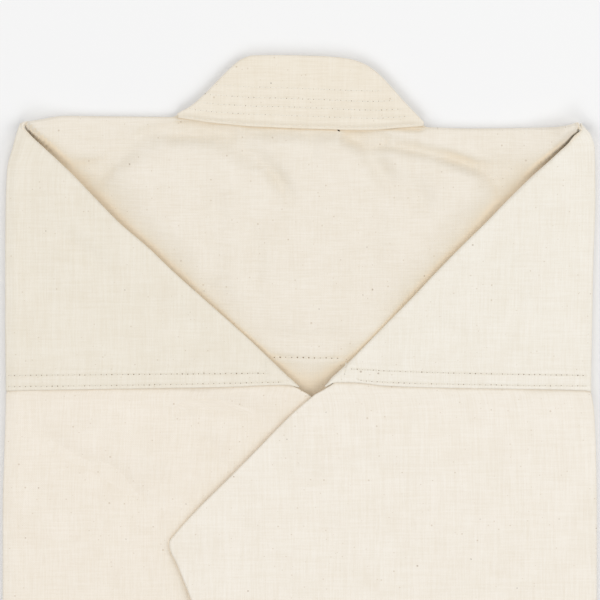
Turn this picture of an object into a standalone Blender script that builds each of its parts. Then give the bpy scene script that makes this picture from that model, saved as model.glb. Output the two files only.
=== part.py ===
"""A karate jacket of unbleached cotton canvas, folded and laid face down.

The fronts lie on the ground with the back on them. Each side is folded over the
back, and each sleeve is turned at the shoulder, so that it points to the hem. The
right sleeve lies over the left one. Sizes are in millimetres: x runs across the
jacket, y from the hem to the collar, and z up from the ground.
"""

import math
from collections import namedtuple

import bmesh
import bpy

MM = 0.001

# The cloth and the folded stack, counted in layers from the ground
PLY = 1.2
GAP = 0.3
LAYER = PLY + GAP
FRONT, BACK, SIDE_LOW, SIDE_TOP, TURN_LOW, TURN_TOP = 0, 2, 3, 4, 5, 6

# The jacket
HEM_Y = -418.0
HEM_DEPTH = 25.0
CUFF_Y = -241.8
CUFF_DEPTH = 32.0
HEM_RISE = 0.9
SEAM_X = 17.0
UNDERARM_Y = 84.0
CROSSING_Y = 213.0

# The shoulder's corners: where the hidden layers step in, where the folded side ends
# and goes on as a low roll of this width, and the tip of the turned shoulder
CORNER_Y = 367.5
SLAB_END_Y = 369.0
TIP_Y = 377.0
CORNER_CLEAR = 8.8
ROLL_WIDTH = CORNER_CLEAR - 0.8

# The lapped armhole seam: how far the body's edge lies over the sleeve
LAP_DEPTH = 8.6
LAP_RISE = LAYER
LAP_SLOPE = 4.0

# How far the folded sides' inner edges are from the middle, and inside the diagonals
MIDDLE_GAP = GAP / 2 + 0.05
UNDERARM_RAMP = 10.0
CROSSING_RAMP = 8.0

# How far the right sleeve stays lifted past the left one's edge, and where it is down
LIFT = 2 * LAYER
LIFT_FLAT = 8.0
LIFT_END = 48.0

# The collar band
COLLAR_TOP = 6.6
COLLAR_UNDER = 1.0
NECK_HALF_WIDTH = 76.0
NECK_REACH = 2.0

LEFT, RIGHT = -1, 1
DIAGONAL_STRETCH = math.sqrt(2.0)
ARC_STEPS = 6

CANVAS = (0.80, 0.74, 0.63)
CANVAS_SHADED = (0.76, 0.69, 0.57)
COLLAR_CANVAS = (0.82, 0.76, 0.65)

Edge = namedtuple("Edge", "y left right")
Top = namedtuple("Top", "x y")
Band = namedtuple("Band", "x seam_y top_y")
Ring = namedtuple("Ring", "z inset")

# The folded sides, from the shoulder to the hem
SIDES = (
    Edge(377.0, -168.6, 169.4),
    Edge(370.0, -170.6, 174.8),
    Edge(362.0, -172.6, 177.0),
    Edge(350.4, -175.8, 177.2),
    Edge(331.2, -176.6, 177.3),
    Edge(297.6, -177.0, 176.2),
    Edge(259.2, -177.0, 175.5),
    Edge(218.0, -176.7, 174.9),
    Edge(205.0, -176.8, 176.6),
    Edge(177.6, -177.6, 177.8),
    Edge(148.0, -178.5, 178.2),
    Edge(91.2, -178.5, 178.2),
    Edge(-100.0, -178.2, 178.0),
    Edge(HEM_Y, -177.5, 177.5),
)

# The inner edge of each turned sleeve: its diagonal fold, then its underarm
TURNS = (
    Edge(377.0, -165.4, 167.0),
    Edge(370.0, -159.2, 162.4),
    Edge(362.0, -151.0, 154.2),
    Edge(350.4, -138.6, 141.2),
    Edge(331.2, -120.0, 123.0),
    Edge(316.8, -105.0, 109.2),
    Edge(297.6, -84.3, 90.6),
    Edge(278.4, -62.4, 71.1),
    Edge(259.2, -41.4, 52.2),
    Edge(240.0, -21.6, 33.0),
    Edge(225.6, -7.2, 18.6),
    Edge(CROSSING_Y, 7.6, 5.7),
    Edge(196.8, 25.1, -10.8),
    Edge(177.6, 45.8, -30.6),
    Edge(158.4, 66.5, -50.4),
    Edge(148.0, 77.2, -60.7),
    Edge(139.2, 75.6, -69.6),
    Edge(127.0, 70.2, -79.0),
    Edge(115.8, 65.6, -75.0),
    Edge(91.2, 56.2, -64.8),
    Edge(70.0, 48.8, -57.4),
    Edge(45.0, 41.4, -49.4),
    Edge(10.0, 32.4, -40.0),
    Edge(-40.0, 23.0, -29.5),
    Edge(-100.0, 13.8, -18.4),
    Edge(-170.0, 4.4, -6.4),
    Edge(-206.0, -0.6, 0.6),
    Edge(CUFF_Y, -5.2, 6.0),
)

# The body's lapped edge at the armhole seam: at the side and at the diagonal fold
LAPS = {LEFT: (217.1, 219.6), RIGHT: (216.6, 221.2)}

# The shoulder line, from the left fold to the right one
SHOULDER = (
    Top(-168.6, 377.4),
    Top(-160.6, 378.8),
    Top(-154.1, 380.0),
    Top(-148.2, 381.3),
    Top(-140.2, 382.1),
    Top(-125.3, 381.8),
    Top(-76.0, 381.3),
    Top(-72.0, 381.0),
    Top(72.0, 375.4),
    Top(76.0, 375.2),
    Top(102.0, 374.4),
    Top(151.7, 375.1),
    Top(159.2, 375.8),
    Top(164.2, 376.8),
    Top(169.4, 377.8),
)

# The collar band: its sewn edge and its outer edge
COLLAR = (
    Band(-73.6, 380.8, 382.8),
    Band(-66.0, 379.8, 386.4),
    Band(-57.0, 378.8, 393.8),
    Band(-46.8, 377.8, 405.0),
    Band(-39.0, 377.2, 412.8),
    Band(-34.8, 376.8, 416.2),
    Band(-28.2, 376.2, 418.2),
    Band(-14.0, 375.5, 418.5),
    Band(0.0, 374.9, 418.4),
    Band(14.0, 374.3, 418.0),
    Band(28.2, 373.8, 416.9),
    Band(37.2, 373.4, 414.6),
    Band(45.6, 373.4, 409.2),
    Band(54.0, 373.5, 400.2),
    Band(61.8, 374.1, 391.2),
    Band(68.4, 374.8, 383.4),
    Band(74.4, 375.4, 377.6),
)

# The edge of the two front layers: a rounded rim each, with a groove between them
FRONT_RINGS = (
    Ring(0.0, 0.5),
    Ring(0.4, 0.0),
    Ring(0.8, 0.0),
    Ring(PLY, 0.5),
    Ring(PLY + 0.05, 2.0),
    Ring(LAYER - 0.05, 2.0),
    Ring(LAYER, 0.5),
    Ring(LAYER + 0.4, 0.0),
    Ring(LAYER + 0.8, 0.0),
    Ring(LAYER + PLY, 0.5),
)


def floor_of(layer):
    return layer * LAYER


def top_of(layer):
    return layer * LAYER + PLY


def middle_of(layer):
    return layer * LAYER + PLY / 2


def between(value, low, high):
    """How far value lies from low to high, held from 0 to 1."""
    return min(1.0, max(0.0, (value - low) / (high - low)))


def eased(share):
    return 0.5 - 0.5 * math.cos(math.pi * share)


def read(table, key, at, column):
    """The column's value at a place along the table, on straight lines between rows."""
    rows = sorted(table, key=lambda row: getattr(row, key))
    for low, high in zip(rows, rows[1:]):
        if at <= getattr(high, key):
            share = between(at, getattr(low, key), getattr(high, key))
            return getattr(low, column) * (1 - share) + getattr(high, column) * share
    return getattr(rows[-1], column)


def side_x(side, y):
    return read(SIDES, "y", y, "left" if side == LEFT else "right")


def turn_x(side, y):
    return read(TURNS, "y", y, "left" if side == LEFT else "right")


def shoulder_y(x):
    return read(SHOULDER, "x", x, "y")


def level(y):
    """A row straight across the jacket."""
    return lambda share: y


def along_lap(side, offset):
    """A row along the lapped edge, from the side (0) to the diagonal fold (1)."""
    at_side, at_fold = LAPS[side]
    return lambda share: at_side + (at_fold - at_side) * share + offset


def arc(centre, radii, start, end, steps=ARC_STEPS):
    """Points (across, up) on an ellipse's arc, with angles in degrees."""
    angles = [math.radians(start + (end - start) * i / steps) for i in range(steps + 1)]
    return [
        (centre[0] + radii[0] * math.cos(a), centre[1] + radii[1] * math.sin(a)) for a in angles
    ]


def distance(point, start, end):
    """The distance in plan from a point to a straight stretch."""
    run = (end[0] - start[0], end[1] - start[1])
    length_squared = run[0] ** 2 + run[1] ** 2
    along = ((point[0] - start[0]) * run[0] + (point[1] - start[1]) * run[1]) / length_squared
    along = min(1.0, max(0.0, along))
    return math.hypot(
        point[0] - start[0] - along * run[0], point[1] - start[1] - along * run[1]
    )


def lift(side, x, y):
    """How far the right sleeve is lifted where it lies over the left one."""
    if side == LEFT:
        return 0.0
    lap = LAPS[RIGHT][0]
    past_lap = max(0.0, y - lap - LAP_DEPTH - LAP_SLOPE)
    y = min(y, lap) + past_lap
    inner = [(row.left, row.y) for row in TURNS if row.y <= CROSSING_Y]
    if y <= CROSSING_Y and x <= turn_x(LEFT, y) and y >= CUFF_Y:
        return LIFT
    away = min(distance((x, y), a, b) for a, b in zip(inner, inner[1:]))
    return LIFT * (1.0 - eased(between(away, LIFT_FLAT, LIFT_END)))


def add_object(name, points, faces, colour, collection):
    """An object from points in millimetres, with its faces turned outwards."""
    mesh = bpy.data.meshes.new(name)
    work = bmesh.new()
    corners = [work.verts.new([value * MM for value in point]) for point in points]
    for face in faces:
        work.faces.new([corners[i] for i in face])
    bmesh.ops.recalc_face_normals(work, faces=work.faces)
    work.to_mesh(mesh)
    work.free()
    mesh.shade_smooth()
    mesh.set_sharp_from_angle(angle=math.radians(40))
    made = bpy.data.objects.new(name, mesh)
    material = bpy.data.materials.new(name + "_canvas")
    material.use_nodes = True
    shader = material.node_tree.nodes["Principled BSDF"]
    shader.inputs["Base Color"].default_value = (*colour, 1.0)
    shader.inputs["Roughness"].default_value = 0.92
    shader.inputs["Metallic"].default_value = 0.0
    mesh.materials.append(material)
    collection.objects.link(made)
    return made


def loft(name, rings, colour, collection):
    """A closed solid through rings of as many points each."""
    count = len(rings[0])
    points = [point for ring in rings for point in ring]
    faces = []
    for row in range(len(rings) - 1):
        for i in range(count):
            j = (i + 1) % count
            low, high = row * count, (row + 1) * count
            faces.append((low + i, low + j, high + j, high + i))
    faces.append(tuple(range(count)))
    faces.append(tuple(range((len(rings) - 1) * count, len(rings) * count)))
    return add_object(name, points, faces, colour, collection)


def wall(name, rows, colour, collection, round_trip=False, left_out=()):
    """One layer of cloth through rows of points at its middle, made solid."""
    count = len(rows[0])
    points = [point for row in rows for point in row]
    faces = []
    for row in range(len(rows) - 1):
        for i in range(count if round_trip else count - 1):
            if (row, i) in left_out:
                continue
            j = (i + 1) % count
            low, high = row * count, (row + 1) * count
            faces.append((low + i, low + j, high + j, high + i))
    used = sorted({i for face in faces for i in face})
    place = {old: new for new, old in enumerate(used)}
    made = add_object(
        name,
        [points[i] for i in used],
        [tuple(place[i] for i in face) for face in faces],
        colour,
        collection,
    )
    solid = made.modifiers.new("Cloth thickness", "SOLIDIFY")
    solid.thickness = PLY * MM
    solid.offset = 0.0
    solid.use_even_offset = True
    return made


def front_outline():
    """The plan edge of the front layers, inside the folds that wrap round them."""
    side_clear = top_of(SIDE_TOP) / 2 + GAP + 0.1
    shoulder_clear = top_of(BACK) / 2 + GAP + 0.3
    collar_clear = 1.2
    left = [(row.left + side_clear, row.y) for row in reversed(SIDES) if row.y < CORNER_Y]
    right = [(row.right - side_clear, row.y) for row in SIDES if row.y < CORNER_Y]
    left.append((side_x(LEFT, CORNER_Y) + CORNER_CLEAR, CORNER_Y))
    right.insert(0, (side_x(RIGHT, CORNER_Y) - CORNER_CLEAR, CORNER_Y))
    start, end = side_x(LEFT, TIP_Y) + CORNER_CLEAR, side_x(RIGHT, TIP_Y) - CORNER_CLEAR
    shoulder_left = [
        (row.x, row.y - shoulder_clear)
        for row in SHOULDER
        if start < row.x <= -NECK_HALF_WIDTH
    ]
    shoulder_right = [
        (row.x, row.y - shoulder_clear)
        for row in SHOULDER
        if NECK_HALF_WIDTH <= row.x < end
    ]
    band = [(row.x, row.top_y - collar_clear) for row in COLLAR[1:-1]]
    return left + shoulder_left + band + shoulder_right + right


def inset(outline, depth):
    """The outline moved inwards along the bisector at each corner."""
    moved = []
    count = len(outline)
    for i, (x, y) in enumerate(outline):
        before, after = outline[i - 1], outline[(i + 1) % count]
        back = (x - before[0], y - before[1])
        ahead = (after[0] - x, after[1] - y)
        back_length, ahead_length = math.hypot(*back), math.hypot(*ahead)
        normal = (
            back[1] / back_length + ahead[1] / ahead_length,
            -back[0] / back_length - ahead[0] / ahead_length,
        )
        size = math.hypot(*normal)
        moved.append((x + depth * normal[0] / size, y + depth * normal[1] / size))
    return moved


def front_layers(collection):
    """Both fronts and the front run of the collar, hidden and flat on the ground."""
    outline = front_outline()
    rings = [
        [(x, y, ring.z) for x, y in inset(outline, ring.inset)] for ring in FRONT_RINGS
    ]
    return loft("front_layers", rings, CANVAS_SHADED, collection)


def back(collection):
    """The back, from side to side, rolled over the shoulder line beside the neck."""
    clear = PLY + GAP + 0.1
    radius = middle_of(BACK) / 2 - PLY / 4
    start, end = side_x(LEFT, TIP_Y) + CORNER_CLEAR, side_x(RIGHT, TIP_Y) - CORNER_CLEAR
    columns = [row.x for row in SHOULDER if start + 1.5 < row.x < end - 1.5]
    columns = [start, *columns, end]
    neck = [abs(x) < NECK_HALF_WIDTH for x in columns]
    rows = []

    def flat_row(y, low, high):
        run = [low + (high - low) * between(x, start, end) for x in columns]
        rows.append([(x, y, middle_of(BACK)) for x in run])

    for row in reversed(SIDES):
        if row.y < CORNER_Y:
            flat_row(row.y, row.left + clear, row.right - clear)
    corner_left, corner_right = side_x(LEFT, CORNER_Y), side_x(RIGHT, CORNER_Y)
    flat_row(CORNER_Y, corner_left + CORNER_CLEAR, corner_right - CORNER_CLEAR)
    first = len(rows)
    roll = arc((0.0, radius + PLY / 2), (radius, radius), 90.0, -90.0, 4)
    for step, (forward, z) in enumerate(roll):
        row = []
        for x, in_neck in zip(columns, neck):
            edge = shoulder_y(x) - PLY / 2 - radius
            if in_neck:
                row.append((x, edge + (NECK_REACH + radius) * min(step, 1), middle_of(BACK)))
            else:
                row.append((x, edge + forward, z))
        rows.append(row)
    left_out = {
        (row, i)
        for row in range(first + 1, len(rows) - 1)
        for i in range(len(columns) - 1)
        if neck[i] or neck[i + 1]
    }
    return wall("back", rows, CANVAS, collection, left_out=left_out)


def side_fold_section(side, y, side_at, inner, top, squash=1.0):
    """The front's folded side: the roll round the stack and its two layers on the back."""
    outer_radius = top_of(SIDE_TOP) / 2
    inner_radius = outer_radius - PLY
    centre = (outer_radius, outer_radius)
    width = abs(inner - side_at)
    step = outer_radius + GAP
    outline = arc(centre, (outer_radius, outer_radius), 90.0, 270.0, 8)
    outline += arc(centre, (inner_radius, inner_radius), 270.0, 90.0, 6)
    outline += [
        (width - LAYER, floor_of(SIDE_TOP)),
        (width - LAYER, top_of(SIDE_LOW)),
        (outer_radius - 0.3, top_of(SIDE_LOW)),
        (outer_radius - 0.3, floor_of(SIDE_LOW)),
        (width - 0.4, floor_of(SIDE_LOW)),
        (width, floor_of(SIDE_LOW) + 0.5),
        (width, top - 0.5),
        (width - 0.4, top),
        (step + 0.3, top),
        (step, top_of(SIDE_TOP)),
    ]
    return [(side_at - side * across, y, up * squash) for across, up in outline]


def fold_inner(side, y):
    """The folded side's inner edge: its seam, then the middle, then inside the diagonal."""
    seam, middle = side * SEAM_X, side * MIDDLE_GAP
    nose = (top_of(TURN_TOP) + LAP_RISE - floor_of(SIDE_LOW)) / 2 * DIAGONAL_STRETCH
    inside = side * (nose + 2 * GAP)
    if y <= CROSSING_Y - CROSSING_RAMP:
        past_underarm = between(y, UNDERARM_Y - UNDERARM_RAMP, UNDERARM_Y + UNDERARM_RAMP)
        return seam + (middle - seam) * past_underarm
    past_middle = between(y, CROSSING_Y - CROSSING_RAMP, CROSSING_Y - 2.0)
    diagonal = turn_x(side, max(y, CROSSING_Y)) + inside
    return middle + (diagonal - middle) * past_middle


def side_fold(name, side, collection):
    """The side of the front, turned over the back from the hem to the shoulder."""
    flat, raised = top_of(SIDE_TOP), top_of(TURN_LOW)
    band_end = HEM_Y + HEM_DEPTH
    lap_end = max(LAPS[side]) + LAP_DEPTH + 0.5
    stations = {band_end, band_end + 0.6, lap_end, lap_end + 0.3, SLAB_END_Y}
    stations |= {UNDERARM_Y - UNDERARM_RAMP, UNDERARM_Y + UNDERARM_RAMP}
    stations |= {CROSSING_Y - CROSSING_RAMP, CROSSING_Y - 2.0}
    stations |= {row.y for row in SIDES if row.y < CORNER_Y}
    stations |= {row.y for row in TURNS if CROSSING_Y <= row.y < CORNER_Y}
    rings = []
    for y in sorted(stations):
        top = flat
        if y <= band_end:
            top = flat + HEM_RISE
        elif y > lap_end:
            top = raised
        inner = fold_inner(side, y)
        rings.append(side_fold_section(side, y, side_x(side, y), inner, top))
    squash = top_of(BACK) / flat
    for y, round_in in ((SLAB_END_Y + 0.3, 0.0), (373.5, 0.4), (376.0, 1.6)):
        edge = side_x(side, y)
        start, inner = edge - side * round_in, edge - side * ROLL_WIDTH
        rings.append(side_fold_section(side, y, start, inner, flat, squash))
    return loft(name, rings, CANVAS_SHADED, collection)


def across_turn(side, y, start, end, rise, columns, nose_floor):
    """The middle of a layer from the side's fold to the diagonal one, both rolled under."""
    width = abs(end - start)
    top = middle_of(TURN_TOP) + rise
    side_radius = LAYER / 2
    side_run = min(side_radius + PLY / 2, 0.3 * width)
    nose_run = ((top - nose_floor) / 2 + PLY / 2) * DIAGONAL_STRETCH
    nose_run = min(nose_run, 0.45 * width)
    low = middle_of(TURN_LOW)
    half = (top - low) / 2
    section = arc((side_run, low + half), (side_run - PLY / 2, half), 270.0, 90.0, 4)
    for i in range(1, columns):
        section.append((side_run + (width - side_run - nose_run) * i / columns, top))
    reach = nose_run - PLY / 2 * DIAGONAL_STRETCH
    middle = (top + nose_floor) / 2
    section += arc((width - nose_run, middle), (reach, top - middle), 90.0, -90.0)
    points = []
    for across, up in section:
        x = start - side * across
        points.append((x, y(across / width), up + lift(side, x, y(across / width))))
    return points


def shoulder_turn(name, side, collection):
    """The back's shoulder, turned at the diagonal fold and lapped over the sleeve."""
    columns = 12
    nose_floor = middle_of(SIDE_LOW)
    rows = []

    def turn_row(y, rise=0.0, round_in=0.0):
        start = side_x(side, y(0.0)) - side * round_in
        end = turn_x(side, y(1.0)) + side * round_in
        rows.append(across_turn(side, y, start, end, rise, columns, nose_floor))

    turn_row(along_lap(side, 0.0), LAP_RISE)
    turn_row(along_lap(side, LAP_DEPTH + 0.4), LAP_RISE)
    turn_row(along_lap(side, LAP_DEPTH + LAP_SLOPE))
    lap_end = max(LAPS[side]) + LAP_DEPTH + LAP_SLOPE
    for row in reversed(TURNS):
        if lap_end + 2.0 < row.y < TIP_Y:
            turn_row(level(row.y))
    turn_row(level(375.0))
    turn_row(level(TIP_Y), round_in=0.4)
    waist = middle_of(TURN_TOP) - 1.6
    rows[-1] = [(x, y, waist + (z - waist) * 0.5) for x, y, z in rows[-1]]
    return wall(name, rows, CANVAS, collection)


def sleeve_section(side, y, start, end, rise, columns):
    """A flattened tube's ring at the cloth's middle, from fold to fold and back."""
    radius = LAYER / 2
    edge = radius + PLY / 2
    width = abs(end - start)
    low = middle_of(TURN_LOW)
    top = middle_of(TURN_TOP) + rise
    half = (top - low) / 2
    section = arc((edge, low + half), (radius, half), 270.0, 90.0, 4)
    run = width - 2 * edge
    section += [(edge + run * i / columns, top) for i in range(1, columns)]
    section += arc((width - edge, low + half), (radius, half), 90.0, -90.0, 4)
    section += [(edge + run * i / columns, low) for i in range(columns - 1, 0, -1)]
    points = []
    for across, up in section:
        x = start - side * across
        points.append((x, y(across / width), up + lift(side, x, y(across / width))))
    return points


def sleeve(name, side, collection):
    """A sleeve, pressed flat: folded at its top, sewn at its underarm, open at the cuff."""
    columns = 14
    tuck = PLY + 3 * GAP
    rows = []

    def sleeve_row(y, rise=0.0, narrowed=0.0):
        start = side_x(side, y(0.0)) - side * narrowed
        end = turn_x(side, y(1.0)) + side * narrowed * DIAGONAL_STRETCH
        rows.append(sleeve_section(side, y, start, end, rise, columns))

    sleeve_row(along_lap(side, LAP_DEPTH - 0.4), narrowed=tuck)
    sleeve_row(along_lap(side, -1.2), narrowed=tuck)
    sleeve_row(along_lap(side, -2.7))
    band_end = CUFF_Y + CUFF_DEPTH
    for row in TURNS:
        if band_end + 2.0 < row.y < CROSSING_Y + 1.0:
            sleeve_row(level(row.y))
    sleeve_row(level(band_end + 2.0))
    sleeve_row(level(band_end), HEM_RISE)
    sleeve_row(level(CUFF_Y), HEM_RISE)
    return wall(name, rows, CANVAS, collection, round_trip=True)


def collar(collection):
    """The collar band's back run: sewn over the neckline, standing past the shoulders."""
    over_back = top_of(BACK) + GAP
    over_front = top_of(FRONT + 1) + GAP
    rings = []
    for row in COLLAR:
        drop = shoulder_y(row.x) - PLY / 2 + NECK_REACH + GAP
        height = row.top_y - row.seam_y
        drop = min(max(drop, row.seam_y + 0.4 * height), row.top_y - 0.2 * height)
        edge = min(1.0, 0.3 * height)
        under = over_front if height > 10.0 else over_back
        section = [
            (row.seam_y, over_back + 0.3),
            (row.seam_y + edge * 0.4, over_back),
            (drop, over_back),
            (drop + 0.2, under),
            (row.top_y - edge, under),
            (row.top_y - 0.2 * edge, under + 0.6),
            (row.top_y, (under + COLLAR_TOP) / 2),
            (row.top_y - 0.2 * edge, COLLAR_TOP - 0.5),
            (row.top_y - edge, COLLAR_TOP),
            (row.seam_y + edge, COLLAR_TOP - COLLAR_UNDER * 0.3),
            (row.seam_y + 0.2 * edge, COLLAR_TOP - COLLAR_UNDER * 0.6),
            (row.seam_y, COLLAR_TOP - COLLAR_UNDER),
        ]
        rings.append([(row.x, y, z) for y, z in section])
    return loft("collar", rings, COLLAR_CANVAS, collection)


def main():
    for old in list(bpy.data.objects):
        bpy.data.objects.remove(old)
    jacket = bpy.data.collections.new("Folded karate jacket")
    bpy.context.scene.collection.children.link(jacket)
    front_layers(jacket)
    back(jacket)
    side_fold("left_side_fold", LEFT, jacket)
    side_fold("right_side_fold", RIGHT, jacket)
    shoulder_turn("left_shoulder_turn", LEFT, jacket)
    shoulder_turn("right_shoulder_turn", RIGHT, jacket)
    sleeve("left_sleeve", LEFT, jacket)
    sleeve("right_sleeve", RIGHT, jacket)
    collar(jacket)


main()
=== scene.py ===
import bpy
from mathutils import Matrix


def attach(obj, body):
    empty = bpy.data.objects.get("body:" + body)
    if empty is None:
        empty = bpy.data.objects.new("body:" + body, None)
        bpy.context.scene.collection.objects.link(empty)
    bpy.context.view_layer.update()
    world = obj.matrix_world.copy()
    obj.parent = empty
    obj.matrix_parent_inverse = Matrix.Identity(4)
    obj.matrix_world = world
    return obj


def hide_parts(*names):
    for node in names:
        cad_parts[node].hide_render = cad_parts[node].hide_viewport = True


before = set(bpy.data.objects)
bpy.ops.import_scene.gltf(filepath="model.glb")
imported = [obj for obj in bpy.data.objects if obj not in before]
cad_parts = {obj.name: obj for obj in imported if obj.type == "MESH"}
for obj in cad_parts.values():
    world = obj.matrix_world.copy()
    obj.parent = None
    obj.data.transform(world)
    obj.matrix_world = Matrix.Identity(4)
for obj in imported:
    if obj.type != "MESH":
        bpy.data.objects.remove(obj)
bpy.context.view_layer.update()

"""A karate jacket of unbleached cotton canvas, folded and laid face down.

Sizes are in millimetres until a mesh is made: x runs across the jacket, y from the
hem to the collar and z up from the ground. Left and right are as seen from above.
"""

import math
from collections import namedtuple
from functools import partial

import bmesh
import bpy
import numpy as np
from mathutils import Vector, noise

MM = 0.001
LEFT, RIGHT = -1, 1
BOTH = (LEFT, RIGHT)
LABEL = {LEFT: "left", RIGHT: "right"}

# The cloth, and the levels of the folded stack counted from the ground
PLY = 1.2
LAYER = 1.5
CLOTH = 0.9
BACK, SIDE_LOW, SIDE_TOP, TURN_LOW, TURN_TOP = 2, 3, 4, 5, 6

# The jacket
HEM_Y = -418.0
HEM_DEPTH = 25.0
HEM_ROWS = (HEM_Y + 3.0, HEM_Y + HEM_DEPTH - 2.0)
CUFF_Y = -241.8
CUFF_DEPTH = 32.0
CUFF_ROWS = (CUFF_Y + 3.0, CUFF_Y + CUFF_DEPTH - 2.0)
BAND_RISE = 0.7
SEAM_X = 17.0
UNDERARM_Y = 84.0
CROSSING_Y = 213.0
TIP_Y = 376.6
NECK_HALF_WIDTH = 76.0

# The lapped armhole seam
LAP_Y = 217.0
LAP_DEPTH = 8.6
LAP_RISE = 0.75
LAP_DIP = 0.25
LAP_DIP_REACH = (0.0, 4.0)
LAP_STEP = (LAP_DEPTH + 0.6, LAP_DEPTH + 5.0)
LAP_FADE = (4.0, 30.0)

# The right sleeve's lift over the left one, smaller at its own corner
LIFT = 3.0
LIFT_FLAT = 8.0
LIFT_END = 48.0
RIGHT_CORNER = (-78.0, 126.0)
CORNER_SHARE = 0.72
CORNER_REACH = (4.0, 30.0)

# The widest steps of the meshes, where the cloth shows and elsewhere
FINE = 2.2
COARSE = 9.0

# Sewing
STITCH_PITCH = 3.2
STITCH_WIDTH = 0.55

Edge = namedtuple("Edge", "y left right")
Spot = namedtuple("Spot", "x y")
Band = namedtuple("Band", "x seam_y top_y")
Row = namedtuple("Row", "x1 y1 x2 y2 x3 y3")
Fold = namedtuple("Fold", "x1 y1 x2 y2 x3 y3 width height")

# The folded sides, from the shoulder to the hem
SIDES = (
    Edge(377.4, -167.8, 168.4),
    Edge(374.0, -169.4, 171.6),
    Edge(370.0, -170.6, 174.8),
    Edge(362.0, -172.8, 177.0),
    Edge(350.4, -175.8, 177.3),
    Edge(331.2, -176.7, 177.4),
    Edge(297.6, -177.0, 176.3),
    Edge(259.2, -177.0, 175.5),
    Edge(218.0, -176.7, 174.9),
    Edge(205.0, -176.8, 176.6),
    Edge(177.6, -177.6, 177.8),
    Edge(148.0, -178.5, 178.2),
    Edge(91.2, -178.5, 178.2),
    Edge(-100.0, -178.2, 178.0),
    Edge(HEM_Y, -177.5, 177.5),
)

# The inner edge of each turned sleeve: its diagonal fold, then its underarm
TURNS = (
    Edge(377.4, -167.6, 168.4),
    Edge(373.2, -164.4, 168.4),
    Edge(369.6, -161.2, 164.5),
    Edge(364.8, -156.2, 160.7),
    Edge(360.0, -150.9, 155.5),
    Edge(355.2, -145.7, 150.4),
    Edge(345.6, -135.7, 139.6),
    Edge(331.2, -121.9, 124.8),
    Edge(316.8, -107.7, 110.8),
    Edge(302.4, -90.9, 96.1),
    Edge(288.0, -75.9, 82.0),
    Edge(273.6, -59.9, 68.5),
    Edge(259.2, -43.6, 54.3),
    Edge(244.8, -27.6, 40.2),
    Edge(235.2, -17.6, 30.7),
    Edge(225.6, -7.6, 20.5),
    Edge(220.8, -2.4, 16.2),
    Edge(217.2, 1.8, 12.4),
    Edge(CROSSING_Y, 6.8, 7.2),
    Edge(201.6, 19.6, -6.0),
    Edge(196.8, 25.1, -10.8),
    Edge(177.6, 45.8, -29.4),
    Edge(158.4, 66.5, -48.5),
    Edge(148.0, 77.2, -59.1),
    Edge(139.2, 75.6, -67.5),
    Edge(130.0, 71.6, -75.5),
    Edge(125.6, 69.6, -78.6),
    Edge(121.0, 67.6, -78.0),
    Edge(115.8, 65.6, -75.2),
    Edge(91.2, 56.2, -65.2),
    Edge(70.0, 48.8, -57.6),
    Edge(45.0, 41.4, -49.4),
    Edge(10.0, 32.4, -40.0),
    Edge(-40.0, 23.0, -29.5),
    Edge(-100.0, 13.8, -18.4),
    Edge(-170.0, 4.4, -6.4),
    Edge(-206.0, -0.6, 0.6),
    Edge(CUFF_Y, -5.2, 6.0),
)

# The lapped edge of the body over each sleeve, from the left side to the right one
LAPS = (
    Spot(-178.0, 216.9),
    Spot(-175.2, 217.0),
    Spot(-42.0, 219.2),
    Spot(-15.0, 220.3),
    Spot(-7.0, 220.3),
    Spot(-3.0, 219.5),
    Spot(0.0, 219.0),
    Spot(14.5, 219.3),
    Spot(17.4, 220.4),
    Spot(21.0, 222.0),
    Spot(30.0, 222.0),
    Spot(42.0, 221.0),
    Spot(49.2, 220.1),
    Spot(78.0, 218.9),
    Spot(171.0, 217.2),
    Spot(177.5, 215.4),
)

# The shoulder line, from the left tip to the right one
SHOULDER = (
    Spot(-168.2, 377.8),
    Spot(-165.4, 378.4),
    Spot(-160.6, 379.0),
    Spot(-154.1, 380.1),
    Spot(-148.2, 381.3),
    Spot(-140.2, 382.0),
    Spot(-125.3, 381.8),
    Spot(-76.0, 381.3),
    Spot(72.0, 375.4),
    Spot(102.0, 374.4),
    Spot(151.7, 375.1),
    Spot(159.2, 375.9),
    Spot(165.2, 377.4),
    Spot(168.8, 378.2),
)

# The collar band: its sewn edge and its outer edge
COLLAR = (
    Band(-73.6, 380.8, 383.4),
    Band(-66.0, 379.6, 387.6),
    Band(-57.0, 378.2, 395.4),
    Band(-46.8, 377.0, 405.8),
    Band(-39.0, 376.3, 413.2),
    Band(-34.8, 375.9, 416.2),
    Band(-28.2, 375.4, 418.2),
    Band(-14.0, 374.8, 418.4),
    Band(0.0, 374.2, 418.2),
    Band(14.0, 373.8, 417.8),
    Band(28.2, 373.4, 416.4),
    Band(37.2, 373.3, 413.8),
    Band(45.6, 373.5, 408.6),
    Band(54.0, 374.1, 400.2),
    Band(61.8, 374.8, 391.4),
    Band(68.4, 375.3, 384.4),
    Band(74.4, 375.8, 378.2),
)

# Rows of stitches through three places each: across the back, round the armholes and
# down the turned ends of the back's row
BACK_ROWS = (Row(-15.4, 236.9, 5.0, 236.6, 26.0, 236.0),)
ARMHOLE_ROWS = {
    LEFT: (
        Row(-174.5, 225.9, -96.0, 226.6, -18.6, 227.3),
        Row(-174.5, 219.2, -92.0, 220.3, -9.6, 222.0),
        Row(-20.4, 235.6, -20.4, 228.0, -20.2, 221.4),
    ),
    RIGHT: (
        Row(31.0, 229.9, 84.0, 227.6, 173.0, 226.0),
        Row(34.0, 224.2, 66.0, 221.3, 173.0, 219.6),
        Row(27.4, 234.4, 27.3, 230.0, 27.2, 226.6),
    ),
}

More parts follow.
